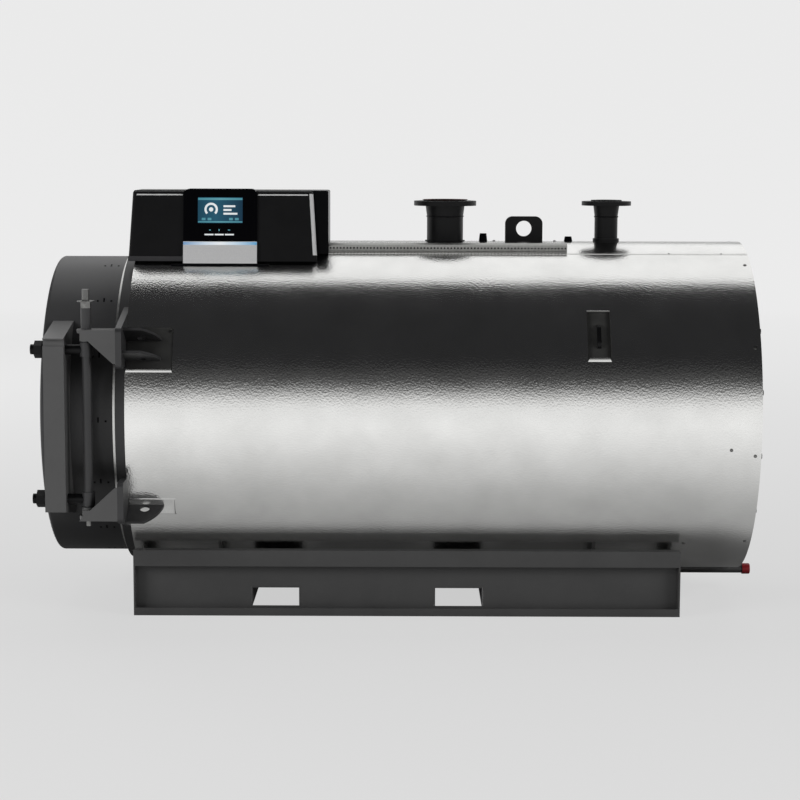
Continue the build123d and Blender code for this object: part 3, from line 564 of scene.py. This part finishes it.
def buildSeams():
    strips, rivets = [], []
    for degrees, start in seams["runs"]:
        half, end = seams["width"] / 2 * mm, jacketHigh.x - seams["short"] * mm
        strip = block("seam_strip", (start, -half, -seams["bed"] * mm), (end, half, seams["thick"] * mm))
        editTop(strip)
        bpy.ops.mesh.inset(thickness=seams["crown"][0] * mm)
        bpy.ops.transform.translate(value=(0, 0, seams["crown"][1] * mm))  # the pressed crown of the lap
        leaveEdit()
        strip.data.transform(onDrum(0, degrees, jacketRadius))
        strips.append(soften(strip, seams["fold"]))
        count = int((jacketHigh.x - start) / (seams["pitch"] * mm))
        step = (jacketHigh.x - start) / count
        lift = jacketRadius + seams["rivetLift"] * mm
        rivets += [onDrum(start + step * (i + 0.5), degrees, lift) for i in range(count)]
    handOver(joined("jacket_seams", strips), "boiler", "stucco_aluminium", plainAluminium)
    rivet = barrel("rivet", seams["rivet"] * mm, 0, seams["rivetHigh"] * mm, 12)
    editTop(rivet)
    bpy.ops.mesh.bevel(offset=seams["rivetRound"] * mm, segments=3, affect="EDGES")
    leaveEdit()
    handOver(copied("seam_rivets", rivet, rivets), "boiler", "zinc_steel", zincSteel, 60)
    print("seams and rivets made")


buildSeams()


# Screws near the rear edge of the jacket and a few loose ones
rim = {"inset": 22, "first": -10, "pitch": 36, "head": 4.2, "headZ": (0.8, 3.4), "headRound": 1.4,
       "drive": (1.2, 1.0), "washer": 6.5, "washerZ": (-0.2, 0.9), "washerRound": 0.3,
       "loose": ((1.031, -47.4), (1.170, -8.0), (0.333, 89.5), (0.567, 89.5), (-0.857, 31.2), (-0.857, 148.8))}


def buildScrews():
    head = barrel("screw_head", rim["head"] * mm, *(z * mm for z in rim["headZ"]), 16)
    editTop(head)
    bpy.ops.mesh.bevel(offset=rim["headRound"] * mm, segments=3, affect="EDGES")
    wide, deep = (size * mm for size in rim["drive"])
    bpy.ops.mesh.inset(thickness=wide)
    bpy.ops.mesh.extrude_region_move(TRANSFORM_OT_translate={"value": (0, 0, -deep)})  # drive recess
    leaveEdit()
    washer = barrel("screw_washer", rim["washer"] * mm, *(z * mm for z in rim["washerZ"]), 20)
    screw = joined("screw", [head, soften(washer, rim["washerRound"])])
    count = round(360 / rim["pitch"])
    spots = [(jacketHigh.x - rim["inset"] * mm, rim["first"] + rim["pitch"] * i) for i in range(count)]
    places = [onDrum(x, degrees, jacketRadius) for x, degrees in spots + list(rim["loose"])]
    handOver(copied("jacket_screws", screw, places), "boiler", "zinc_steel", zincSteel, 50)
    print("jacket screws made")


buildScrews()


# Folded lips of the jacket at the fin cut-outs and the lashing windows
lips = {
    "window": {"x": (0.6515, 0.7365), "angle": 21.0, "rise": 15, "tilt": 15, "taper": 0.86},
    "window_top": {"x": (0.6520, 0.7360), "angle": 39.3, "rise": 3.5, "tilt": 30, "taper": 0.96},
    "front": {"x": (-1.0185, -0.85), "angle": 17.0, "rise": 12, "tilt": 11, "taper": 0.96},
    "lower_top": {"x": (-1.0185, -0.8465), "angle": -26.8, "rise": 5, "tilt": -14, "taper": 1.0},
    "lower_foot": {"x": (-1.0185, -0.8465), "angle": -32.6, "rise": -4, "tilt": 14, "taper": 1.0},
}
fold = {"thick": 1.4, "round": 0.3, "lift": 0.4}
plates = {"x": (-1.0180, -0.8515), "angle": -29.6, "half": 32.5, "sunk": (1.6, 0.3), "border": 5, "field": 0.6,
          "round": 0.4, "tilt": -8}


def buildLips():
    made = []
    for name, lip in lips.items():
        begin()
        bpy.ops.mesh.primitive_plane_add(size=1, location=(0, 0.5, 0))
        sheet = bpy.context.object
        settle(sheet)
        editCorners(sheet, lambda corner: corner.y > 0.5)
        bpy.ops.transform.resize(value=(lip["taper"], 1, 1))  # mitred ends
        leaveEdit()
        sheet.scale = (lip["x"][1] - lip["x"][0], lip["rise"] * mm, 1)
        sheet.rotation_euler = (math.radians(lip["tilt"]), 0, 0)
        settle(sheet)
        modify(sheet, "SOLIDIFY", thickness=fold["thick"] * mm, offset=0)
        soften(sheet, fold["round"])
        place = onDrum(sum(lip["x"]) / 2, lip["angle"], jacketRadius + fold["lift"] * mm)
        made += [copied(name, sheet, [place, mirrorFar @ place])]
    handOver(joined("cutout_lips", made), "boiler", "stucco_aluminium", plainAluminium, 30)

    half, (x0, x1), (deep, shallow) = plates["half"] * mm, plates["x"], (sunk * mm for sunk in plates["sunk"])
    plate = block("closing_plate", (x0, -half, -deep), (x1, half, -shallow))
    editTop(plate)
    bpy.ops.mesh.inset(thickness=plates["border"] * mm)
    bpy.ops.transform.translate(value=(0, 0, -plates["field"] * mm))  # pressed-in field
    leaveEdit()
    soften(plate, plates["round"])
    place = onDrum(0, plates["angle"], jacketRadius) @ turnedAbout("X", plates["tilt"])
    plate = copied("closing_plates", plate, [place, mirrorFar @ place])
    handOver(plate, "boiler", "stucco_aluminium", plainAluminium, 30)
    print("cut-out lips made")


buildLips()


# Curved sheets that close the jacket behind the fins and behind the lashing lugs
backs = {
    "fin_back": {"x": (-1.0180, -0.8470), "arc": (16.7, 33.0), "sunk": 3.2},
    "lug_back": {"x": (0.6480, 0.7400), "arc": (20.6, 40.0), "sunk": 12.0},
}
backEdge = {"thick": 1.2, "round": 0.3}


def upRound(point):  # degrees up the near side of the drum
    return math.degrees(math.atan2(point.z - axisZ, -point.y))


def buildBacks():
    made = []
    for name, back in backs.items():
        sheet = barrel(name, jacketRadius - back["sunk"] * mm, *back["x"], 720, "NOTHING")
        sheet.data.transform(Matrix.Translation((0, 0, axisZ)) @ turnedAbout("Y", 90))
        low, high = back["arc"]
        editFaces(sheet, lambda centre, normal: not low < upRound(centre) < high)
        bpy.ops.mesh.delete(type="FACE")
        leaveEdit()
        modify(sheet, "SOLIDIFY", thickness=backEdge["thick"] * mm, offset=-1)
        made.append(copied(name, soften(sheet, backEdge["round"]), [Matrix.Identity(4), mirrorFar]))
    # Dark grey of the backs: painted reflection
    handOver(joined("cutout_backs", made), "boiler", "anthracite_paint", backSheetPaintedDark, 30)
    print("cut-out backs made")


buildBacks()


# Foot ring of the flow neck on the jacket, and the weld beads round the necks and the burner plate
necks = {"flow": (0.1435, 69.85), "return": (0.766, 44.45), "weldZ": 1.4705, "bead": 3.0, "sunk": 0.4,
         "foot": 7.0, "footGap": 0.5, "footLift": 3.2, "footBed": 0.2, "footRound": 0.6,
         "faceZ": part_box("flow_neck")[1].z, "faceOuter": 88, "faceIn": 6,
         "faceSkin": (-0.4, 0.5), "faceRound": 0.2, "above": 0.05, "past": 0.3}
weld = {"segments": 120, "sides": 8, "ripple": 0.6, "seed": 7}
burner = {"x": -1.3372, "z": axisZ - 0.120, "radius": 225.5, "bead": 4.0}


def weldBead(radius, bead, place):
    begin()
    bpy.ops.mesh.primitive_torus_add(major_radius=radius * mm, minor_radius=bead * mm,
                                     major_segments=weld["segments"], minor_segments=weld["sides"])
    ring = bpy.context.object
    bpy.ops.object.mode_set(mode="EDIT")
    bpy.ops.mesh.select_all(action="SELECT")
    bpy.ops.transform.vertex_random(offset=weld["ripple"] * mm, seed=weld["seed"])  # ripples of the weld
    leaveEdit()
    ring.data.transform(place)
    return ring


def ringOn(name, outer, inner, low, high, sides=96):  # upright ring on the origin, radii in mm
    ring = barrel(name, outer * mm, low, high, sides)
    editFaces(ring, lambda centre, normal: abs(normal.z) > 0.9)
    bpy.ops.mesh.inset(thickness=(outer - inner) * mm)
    bpy.ops.mesh.bridge_edge_loops()
    leaveEdit()
    return ring


def buildNecks():
    beads = []
    for name in ("flow", "return"):
        x, radius = necks[name]
        place = Matrix.Translation((x, 0, necks["weldZ"]))
        beads.append(weldBead(radius - necks["sunk"], necks["bead"], place))
    handOver(joined("neck_welds", beads), "boiler", "black_paint", neckPaint, 60)
    turn = Matrix.Translation((burner["x"], 0, burner["z"])) @ turnedAbout("Y", 90)
    bead = weldBead(burner["radius"], burner["bead"], turn)
    bead.name = "burner_weld"
    handOver(bead, "door", "anthracite_paint", doorPaint, 60)

    (x, radius), past, top = necks["flow"], necks["past"], jacketHigh.z + necks["above"]
    foot = ringOn("flow_neck_foot", radius + necks["foot"], radius + necks["footGap"], axisZ, top)
    foot.data.transform(Matrix.Translation((x, 0, 0)))
    for lift, operation in ((necks["footLift"], "INTERSECT"), (necks["footBed"], "DIFFERENCE")):
        drum = barrel("round", jacketRadius + lift * mm, x - past, x + past, 256)  # follows the jacket's round
        drum.data.transform(Matrix.Translation((0, 0, axisZ)) @ turnedAbout("Y", 90))
        modify(foot, "BOOLEAN", operation=operation, object=drum, solver="EXACT")
        bpy.data.objects.remove(drum)
    handOver(soften(foot, necks["footRound"]), "boiler", "black_paint", neckPaint)

    low, high = (necks["faceZ"] + skin * mm for skin in necks["faceSkin"])
    face = ringOn("flow_neck_face", necks["faceOuter"], radius - necks["faceIn"], low, high)
    face.data.transform(Matrix.Translation((x, 0, 0)))
    handOver(soften(face, necks["faceRound"]), "boiler", "black_paint", facePrimer)
    print("neck feet and welds made")


buildNecks()


# Hinge studs and closing bolts: threads and chamfered nuts
hinge = {"x": -1.152, "y": 0.640, "studFrom": 1.1878, "studTo": 1.2280, "studRadius": 13, "studPitch": 3.4,
         "studSunk": 0.4, "ridge": 1.2, "nutFlats": 34, "nutLow": 1.161, "nutHigh": 1.184, "nutWall": 3.5,
         "nutChamfer": 2.2, "washer": 31, "washerHigh": 1.1875, "washerGap": 1.6, "washerRound": 0.5}
bolts = {"from": -1.3365, "to": -1.3518, "z": (0.47, 1.012), "radius": 18, "sunk": 0.5, "pitch": 3.6, "ridge": 1.2}


def thread(name, radius, length, pitch, ridge):  # a ridge wound up from the origin
    begin()
    bpy.ops.mesh.primitive_circle_add(vertices=6, radius=ridge * mm, location=(radius * mm, 0, 0),
                                      rotation=(math.radians(90), 0, 0))
    piece = settle(bpy.context.object)
    piece.name = name
    turns = int(length / (pitch * mm))
    modify(piece, "SCREW", angle=math.tau, iterations=turns, screw_offset=pitch * mm, steps=24, render_steps=24,
           axis="Z", use_merge_vertices=False)
    editCorners(piece, lambda corner: True)
    bpy.ops.mesh.remove_doubles(threshold=0.00001)
    leaveEdit()
    return piece


def buildFasteners():
    sides = [Matrix.Translation((hinge["x"], y, 0)) for y in (-hinge["y"], hinge["y"])]
    length = hinge["studTo"] - hinge["studFrom"]
    wound = thread("stud_thread", hinge["studRadius"] - hinge["studSunk"], length, hinge["studPitch"],
                   hinge["ridge"])
    wound.data.transform(Matrix.Translation((0, 0, hinge["studFrom"])))
    handOver(copied("stud_threads", wound, sides), "boiler", "zinc_steel", zincSteel, 40)

    outer = hinge["nutFlats"] / math.sqrt(3)
    nut = ringOn("nut", outer, outer - hinge["nutWall"], hinge["nutLow"], hinge["nutHigh"], 6)
    editCorners(nut, lambda corner: corner.xy.length > outer * 0.98 * mm)
    bpy.ops.mesh.bevel(offset=hinge["nutChamfer"] * mm, segments=1, affect="VERTICES")  # chamfered corners
    leaveEdit()
    inner = hinge["studRadius"] + hinge["washerGap"]
    washer = ringOn("washer", hinge["washer"], inner, hinge["nutHigh"], hinge["washerHigh"], 40)
    soften(washer, hinge["washerRound"])
    nuts = copied("stud_nuts", joined("nut", [nut, washer]), sides)
    handOver(nuts, "boiler", "zinc_steel", zincSteel, 30)
    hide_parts("pin_nuts")

    length = bolts["from"] - bolts["to"]
    wound = thread("bolt_thread", bolts["radius"] - bolts["sunk"], length, bolts["pitch"], bolts["ridge"])
    wound.data.transform(turnedAbout("Y", -90))
    ends = [Matrix.Translation((bolts["from"], y, z)) for y in (-hinge["y"], hinge["y"]) for z in bolts["z"]]
    handOver(copied("bolt_threads", wound, ends), "door", "anthracite_paint", neckPaint, 40)
    print("threads and nuts made")


buildFasteners()


# Small black marks in the side of the door, painted shade of small slots: two round ones with a tall one between,
# repeated round the drum
shadeMarks = {"radius": 0.571, "x": (-1.1475, -1.1245, -1.097), "size": ((7, 7), (6, 19), (7, 7)), "up": (0, 5, 0),
         "z": (-0.6, 0.9), "dish": (1.2, 0.7), "round": 0.4, "first": 72.2, "pitch": 24.0}


def buildDoorShadeMarks():
    marks = []
    for x, (wide, tall), up in zip(shadeMarks["x"], shadeMarks["size"], shadeMarks["up"]):
        half, (low, high) = wide / 2 * mm, (z * mm for z in shadeMarks["z"])
        mark = block("shade_mark", (x - half, (up - tall / 2) * mm, low), (x + half, (up + tall / 2) * mm, high))
        editTop(mark)
        bpy.ops.mesh.inset(thickness=shadeMarks["dish"][0] * mm)
        bpy.ops.transform.translate(value=(0, 0, -shadeMarks["dish"][1] * mm))  # dished middle
        leaveEdit()
        marks.append(soften(mark, shadeMarks["round"]))
    group = joined("shade_mark_group", marks)
    count = round(360 / shadeMarks["pitch"])
    places = [onDrum(0, shadeMarks["first"] - shadeMarks["pitch"] * i, shadeMarks["radius"]) for i in range(count)]
    handOver(copied("door_shade_marks", group, places), "door", "black_plastic", blackGlossAndShade)
    print("door vents made")


buildDoorShadeMarks()


# Painted highlights along the edges of the panel's covers, and the foot strip of the covers
panel = {"lean": 8.35, "bandY": -0.2640, "bandZ": 1.5565, "bandTall": 5.0, "bandThick": 1.4,
         "right": (-0.561, -0.3735), "left": (-1.0135, -0.840),
         "sideRadius": 17.5, "sideFoot": (-0.3578, -0.2812, 1.331), "sideTop": (-0.3722, -0.2466, 1.558),
         "footX": (-1.0440, -0.8390), "footY": (-0.3032, -0.2950), "footZ": (1.3105, 1.3290),
         "bandRound": 0.5, "highlightThick": 0.6, "sideKept": 0.15, "footBorder": 2.5, "footDip": 0.8, "footRound": 1.0}


# Painted highlight strip: follows an edge that catches light, drawn as a pale strip
def paintedHighlightStrip(name, radius, start, end, kept):  # the part of a tube whose normals are kept, as a thin strip
    start, end = Vector(start), Vector(end)
    piece = barrel(name, radius * mm, 0, (end - start).length, 64, "NOTHING")
    piece.rotation_mode = "QUATERNION"
    piece.rotation_quaternion = (end - start).to_track_quat("Z", "Y")
    piece.location = start
    settle(piece)
    editFaces(piece, lambda centre, normal: not kept(normal))
    bpy.ops.mesh.delete(type="FACE")
    leaveEdit()
    modify(piece, "SOLIDIFY", thickness=panel["highlightThick"] * mm, offset=1)
    return piece


def buildPanelHighlightsAndFoot():
    made = []
    # Bands along the covers' top edges and a strip down the right cover's side: painted highlights
    thick, tall = panel["bandThick"] / 2 * mm, panel["bandTall"] / 2 * mm
    for x0, x1 in (panel["right"], panel["left"]):
        band = soften(block("cover_top_highlight", (x0, -thick, -tall), (x1, thick, tall)), panel["bandRound"], 3)
        place = Matrix.Translation((0, panel["bandY"], panel["bandZ"])) @ turnedAbout("X", -panel["lean"])
        band.data.transform(place)
        made.append(band)
    made.append(paintedHighlightStrip("cover_side_highlight", panel["sideRadius"], panel["sideFoot"], panel["sideTop"],
                         lambda normal: normal.x > panel["sideKept"] and normal.y < -panel["sideKept"]))
    handOver(joined("panel_edge_highlight", made), "boiler", "silver_plastic", edgeHighlightPaint, 50)
    strip = block("panel_foot_strip", *zip(panel["footX"], panel["footY"], panel["footZ"]))
    editFaces(strip, lambda centre, normal: normal.y < -0.9)
    bpy.ops.mesh.inset(thickness=panel["footBorder"] * mm)
    bpy.ops.transform.translate(value=(0, panel["footDip"] * mm, 0))  # shallow panel in the strip's face
    leaveEdit()
    handOver(soften(strip, panel["footRound"]), "boiler", "grey_plastic", stripPlastic)
    print("panel trim made")


buildPanelHighlightsAndFoot()


# Display: lit marks on the screen, keys under it and the light strip of the fascia
display = {"centre": (-0.7005, -0.2782, 1.4995), "lean": 8.345,
           "mark": (0.05, 0.4, 0.18), "dot": (0.0, 0.35, 0.15), "bar": (0.0, 0.6, 0.25)}  # low, high, rounding
screenMarks = [  # x, up, width and height in mm from the screen's centre
    ("headline", 0, 42.0, 165, 8.0), ("footline", 0, -43.5, 165, 5.0),
    ("bar", 34, 15, 44, 7.0), ("bar", 27, 1, 30, 7.0), ("bar", 38, -13, 52, 7.0),
    ("key", -62, -33, 14, 9.0), ("key", -40, -33, 14, 9.0), ("key", 40, -33, 14, 9.0), ("key", 62, -33, 14, 9.0),
]
gauge = {"x": -34, "up": 3, "outer": 25, "inner": 17, "hub": 8, "hubRound": 0.15}
panelKeys = [("dot", -38, -74.2, 6, 4), ("dot", -4, -74.0, 4, 7), ("dot", 33, -74.0, 8, 3.5)]
keyBars = [(-41.5, -91.0, 33.5, 5.2), (-3.5, -91.0, 33.5, 5.2), (34.5, -91.0, 33.5, 5.2)]
lightStrip = {"x": (-137, 137), "up": (-130.0, -119.0), "proud": (4.4, 5.9), "round": 1.0}


def onDisplay():
    lean = math.radians(display["lean"])
    up = Vector((0, math.sin(lean), math.cos(lean)))
    along = Vector((1, 0, 0))
    place = Matrix((along, up, along.cross(up))).transposed().to_4x4()
    place.translation = Vector(display["centre"])
    return place


def tile(name, x, up, wide, tall, low, high, corner):  # a rounded plate, in mm from the screen's centre
    near = [side * mm for side in (x - wide / 2, up - tall / 2, low)]
    far = [side * mm for side in (x + wide / 2, up + tall / 2, high)]
    return soften(block(name, near, far), corner, 3)


def buildDisplay():
    low, high = (side * mm for side in display["mark"][:2])
    lit = [tile(*mark, *display["mark"]) for mark in screenMarks]
    white = [piece for piece, mark in zip(lit, screenMarks) if mark[0] == "bar"]
    pale = [piece for piece, mark in zip(lit, screenMarks) if mark[0] != "bar"]
    ring = ringOn("gauge_ring", gauge["outer"], gauge["inner"], low, high, 48)
    editFaces(ring, lambda centre, normal: centre.y < -abs(centre.x) * 0.9)
    bpy.ops.mesh.delete(type="FACE")  # open at the bottom, like a dial
    leaveEdit()
    hub = soften(barrel("gauge_hub", gauge["hub"] * mm, low, high, 32), gauge["hubRound"])
    for piece in (ring, hub):
        piece.data.transform(Matrix.Translation((gauge["x"] * mm, gauge["up"] * mm, 0)))
    white += [ring, hub]
    pale += [tile(*key, *display["dot"]) for key in panelKeys]
    keys = [tile("key_bar", *bar, *display["bar"]) for bar in keyBars]
    near, far = zip(*(lightStrip[side] for side in ("x", "up", "proud")))
    strip = block("light_strip", [side * mm for side in near], [side * mm for side in far])
    editTop(strip)
    bpy.ops.mesh.bevel(offset=lightStrip["round"] * mm, segments=3, affect="EDGES")
    leaveEdit()
    for name, made, slot, finish in (
            ("screen_marks", white, "display_glass", litWhite), ("screen_bands", pale, "display_glass", litTeal),
            ("panel_keys", keys, "display_glass", litWhite), ("fascia_light", [strip], "display_glass", litStrip)):
        piece = joined(name, made)
        piece.data.transform(onDisplay())
        handOver(piece, "boiler", slot, finish)
    print("display made")


buildDisplay()


# Cable duct: slotted walls, a floor, a lid with turned-down edges, and a black strip behind the slots: painted shade
# of the duct's inside
duct = {"x": (-0.2985, 0.6010), "angle": 73.2, "y": (-14, 10), "tall": 24, "foot": 0.4, "wall": 1.2,
        "pitch": 12.5, "slotRow": 13, "rib": 3.2, "lidLow": 19.4, "lidOver": 0.9, "lidWall": 0.8,
        "lining": (2.2, 18.5), "liningIn": 1.0, "floorRound": 0.2, "lidRound": 0.4, "liningRound": 1.0}


def slottedWall():  # stands on the origin, facing the near side
    count = int((duct["x"][1] - duct["x"][0]) / (duct["pitch"] * mm))
    begin()
    bpy.ops.mesh.primitive_grid_add(x_subdivisions=count, y_subdivisions=3, size=1)
    wall = bpy.context.object
    editCorners(wall, lambda corner: abs(corner.y) < 0.4)
    bpy.ops.transform.resize(value=(1, duct["slotRow"] / duct["tall"] * 3, 1))
    leaveEdit()
    wall.scale = (duct["x"][1] - duct["x"][0], duct["tall"] * mm, 1)
    settle(wall)
    editFaces(wall, lambda centre, normal: abs(centre.y) < 0.001)
    bpy.ops.mesh.inset(thickness=duct["rib"] * mm, use_individual=True)
    bpy.ops.mesh.delete(type="FACE")  # the slots
    leaveEdit()
    wall.data.transform(Matrix.Translation((sum(duct["x"]) / 2, 0, duct["tall"] / 2 * mm)) @ turnedAbout("X", 90))
    return modify(wall, "SOLIDIFY", thickness=duct["wall"] * mm, offset=-1)


def buildDuct():
    (x0, x1), (near, far), wall = duct["x"], (y * mm for y in duct["y"]), duct["wall"] * mm
    top, place = duct["tall"] * mm, onDrum(0, duct["angle"], jacketRadius + duct["foot"] * mm)
    sides = [Matrix.Translation((0, near, 0)), Matrix.Translation((0, far, 0)) @ mirrorFar]
    floor = soften(block("duct_floor", (x0, near + wall, 0), (x1, far - wall, wall)), duct["floorRound"])
    channel = joined("slotted_duct", [copied("duct_walls", slottedWall(), sides), floor])
    over, inset = duct["lidOver"] * mm, duct["liningIn"] * mm
    lid = block("duct_lid", (x0, near - over, duct["lidLow"] * mm), (x1, far + over, top + over))
    editFaces(lid, lambda centre, normal: normal.z < -0.9)
    bpy.ops.mesh.inset(thickness=duct["lidWall"] * mm)
    bpy.ops.transform.translate(value=(0, 0, top - duct["lidLow"] * mm))  # hollow from below
    leaveEdit()
    soften(lid, duct["lidRound"])
    # Black strip behind the slots: painted shade of the dark inside the duct
    low, high = duct["lining"]
    lining = block("duct_lining", (x0 + inset, near + 2 * wall, low * mm), (x1 - inset, far - 2 * wall, high * mm))
    soften(lining, duct["liningRound"])
    for piece, slot, finish in ((channel, "duct_steel", ductSteel), (lid, "duct_steel", ductSteel),
                                (lining, "black_plastic", blackGlossAndShade)):
        piece.data.transform(place)
        handOver(piece, "boiler", slot, finish)
    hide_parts("cable_duct")
    print("duct made")


buildDuct()


# Bolts of the rear cover and of the flue collar, sized by their flats, and the lens of the door's sight glass
rear = {"ring": 0.595, "count": 16, "head": 19, "high": 8, "collarRing": 0.168, "collarCount": 8, "collarHead": 10,
        "collarHigh": 5, "collarLift": 6}
hexes = {"inset": 0.08, "rise": 0.06, "washer": 0.95, "washerZ": (-0.2, 1.6), "washerRound": 0.4}
sight = {"x": -1.352, "y": 0.330, "z": axisZ + 0.190, "lens": 12, "lensThick": 1.0, "bezel": 17.5,
         "bezelZ": (-4.0, 2.2), "bezelRound": 0.7, "dome": ((3, 1.4), (3, 0.6), (3, 0.25))}


def hexHead(name, flats, high):
    head = barrel(name, flats / math.sqrt(3) * mm, 0, high * mm, 6)
    editTop(head)
    bpy.ops.mesh.inset(thickness=hexes["inset"] * flats * mm)
    bpy.ops.transform.translate(value=(0, 0, hexes["rise"] * flats * mm))  # chamfered top
    leaveEdit()
    washer = barrel(name + "_washer", hexes["washer"] * flats * mm, *(z * mm for z in hexes["washerZ"]), 24)
    return joined(name, [head, soften(washer, hexes["washerRound"])])


def ringOf(count, radius, x):
    turns = [turnedAbout("X", 360 * (i + 0.5) / count) for i in range(count)]
    out = Matrix.Translation((0, 0, radius)) @ turnedAbout("Y", 90)
    return [Matrix.Translation((x, 0, axisZ)) @ turn @ out for turn in turns]


def buildEnds():
    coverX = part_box("rear_cover")[1].x
    bolt = hexHead("cover_bolt", rear["head"], rear["high"])
    places = ringOf(rear["count"], rear["ring"], coverX)
    handOver(copied("rear_cover_bolts", bolt, places), "boiler", "zinc_steel", zincSteel)
    bolt = hexHead("collar_bolt", rear["collarHead"], rear["collarHigh"])
    places = ringOf(rear["collarCount"], rear["collarRing"], coverX + rear["collarLift"] * mm)
    handOver(copied("flue_collar_bolts", bolt, places), "boiler", "zinc_steel", zincSteel)

    lens = barrel("sight_lens", sight["lens"] * mm, 0, sight["lensThick"] * mm, 40)
    editTop(lens)
    for inset, rise in sight["dome"]:  # domed glass
        bpy.ops.mesh.inset(thickness=inset * mm)
        bpy.ops.transform.translate(value=(0, 0, rise * mm))
    leaveEdit()
    bezel = ringOn("sight_bezel", sight["bezel"], sight["lens"], *(z * mm for z in sight["bezelZ"]), 24)
    soften(bezel, sight["bezelRound"])
    turn = Matrix.Translation((sight["x"], sight["y"], sight["z"])) @ turnedAbout("Y", -90)
    for piece, slot, finish in ((lens, "black_plastic", blackGlossAndShade), (bezel, "zinc_steel", zincSteel)):
        piece.data.transform(turn)
        handOver(piece, "door", slot, finish, 50)
    print("rear bolts and sight glass made")


buildEnds()


def writeSizes():
    print("scene finished")


begin()
writeSizes()
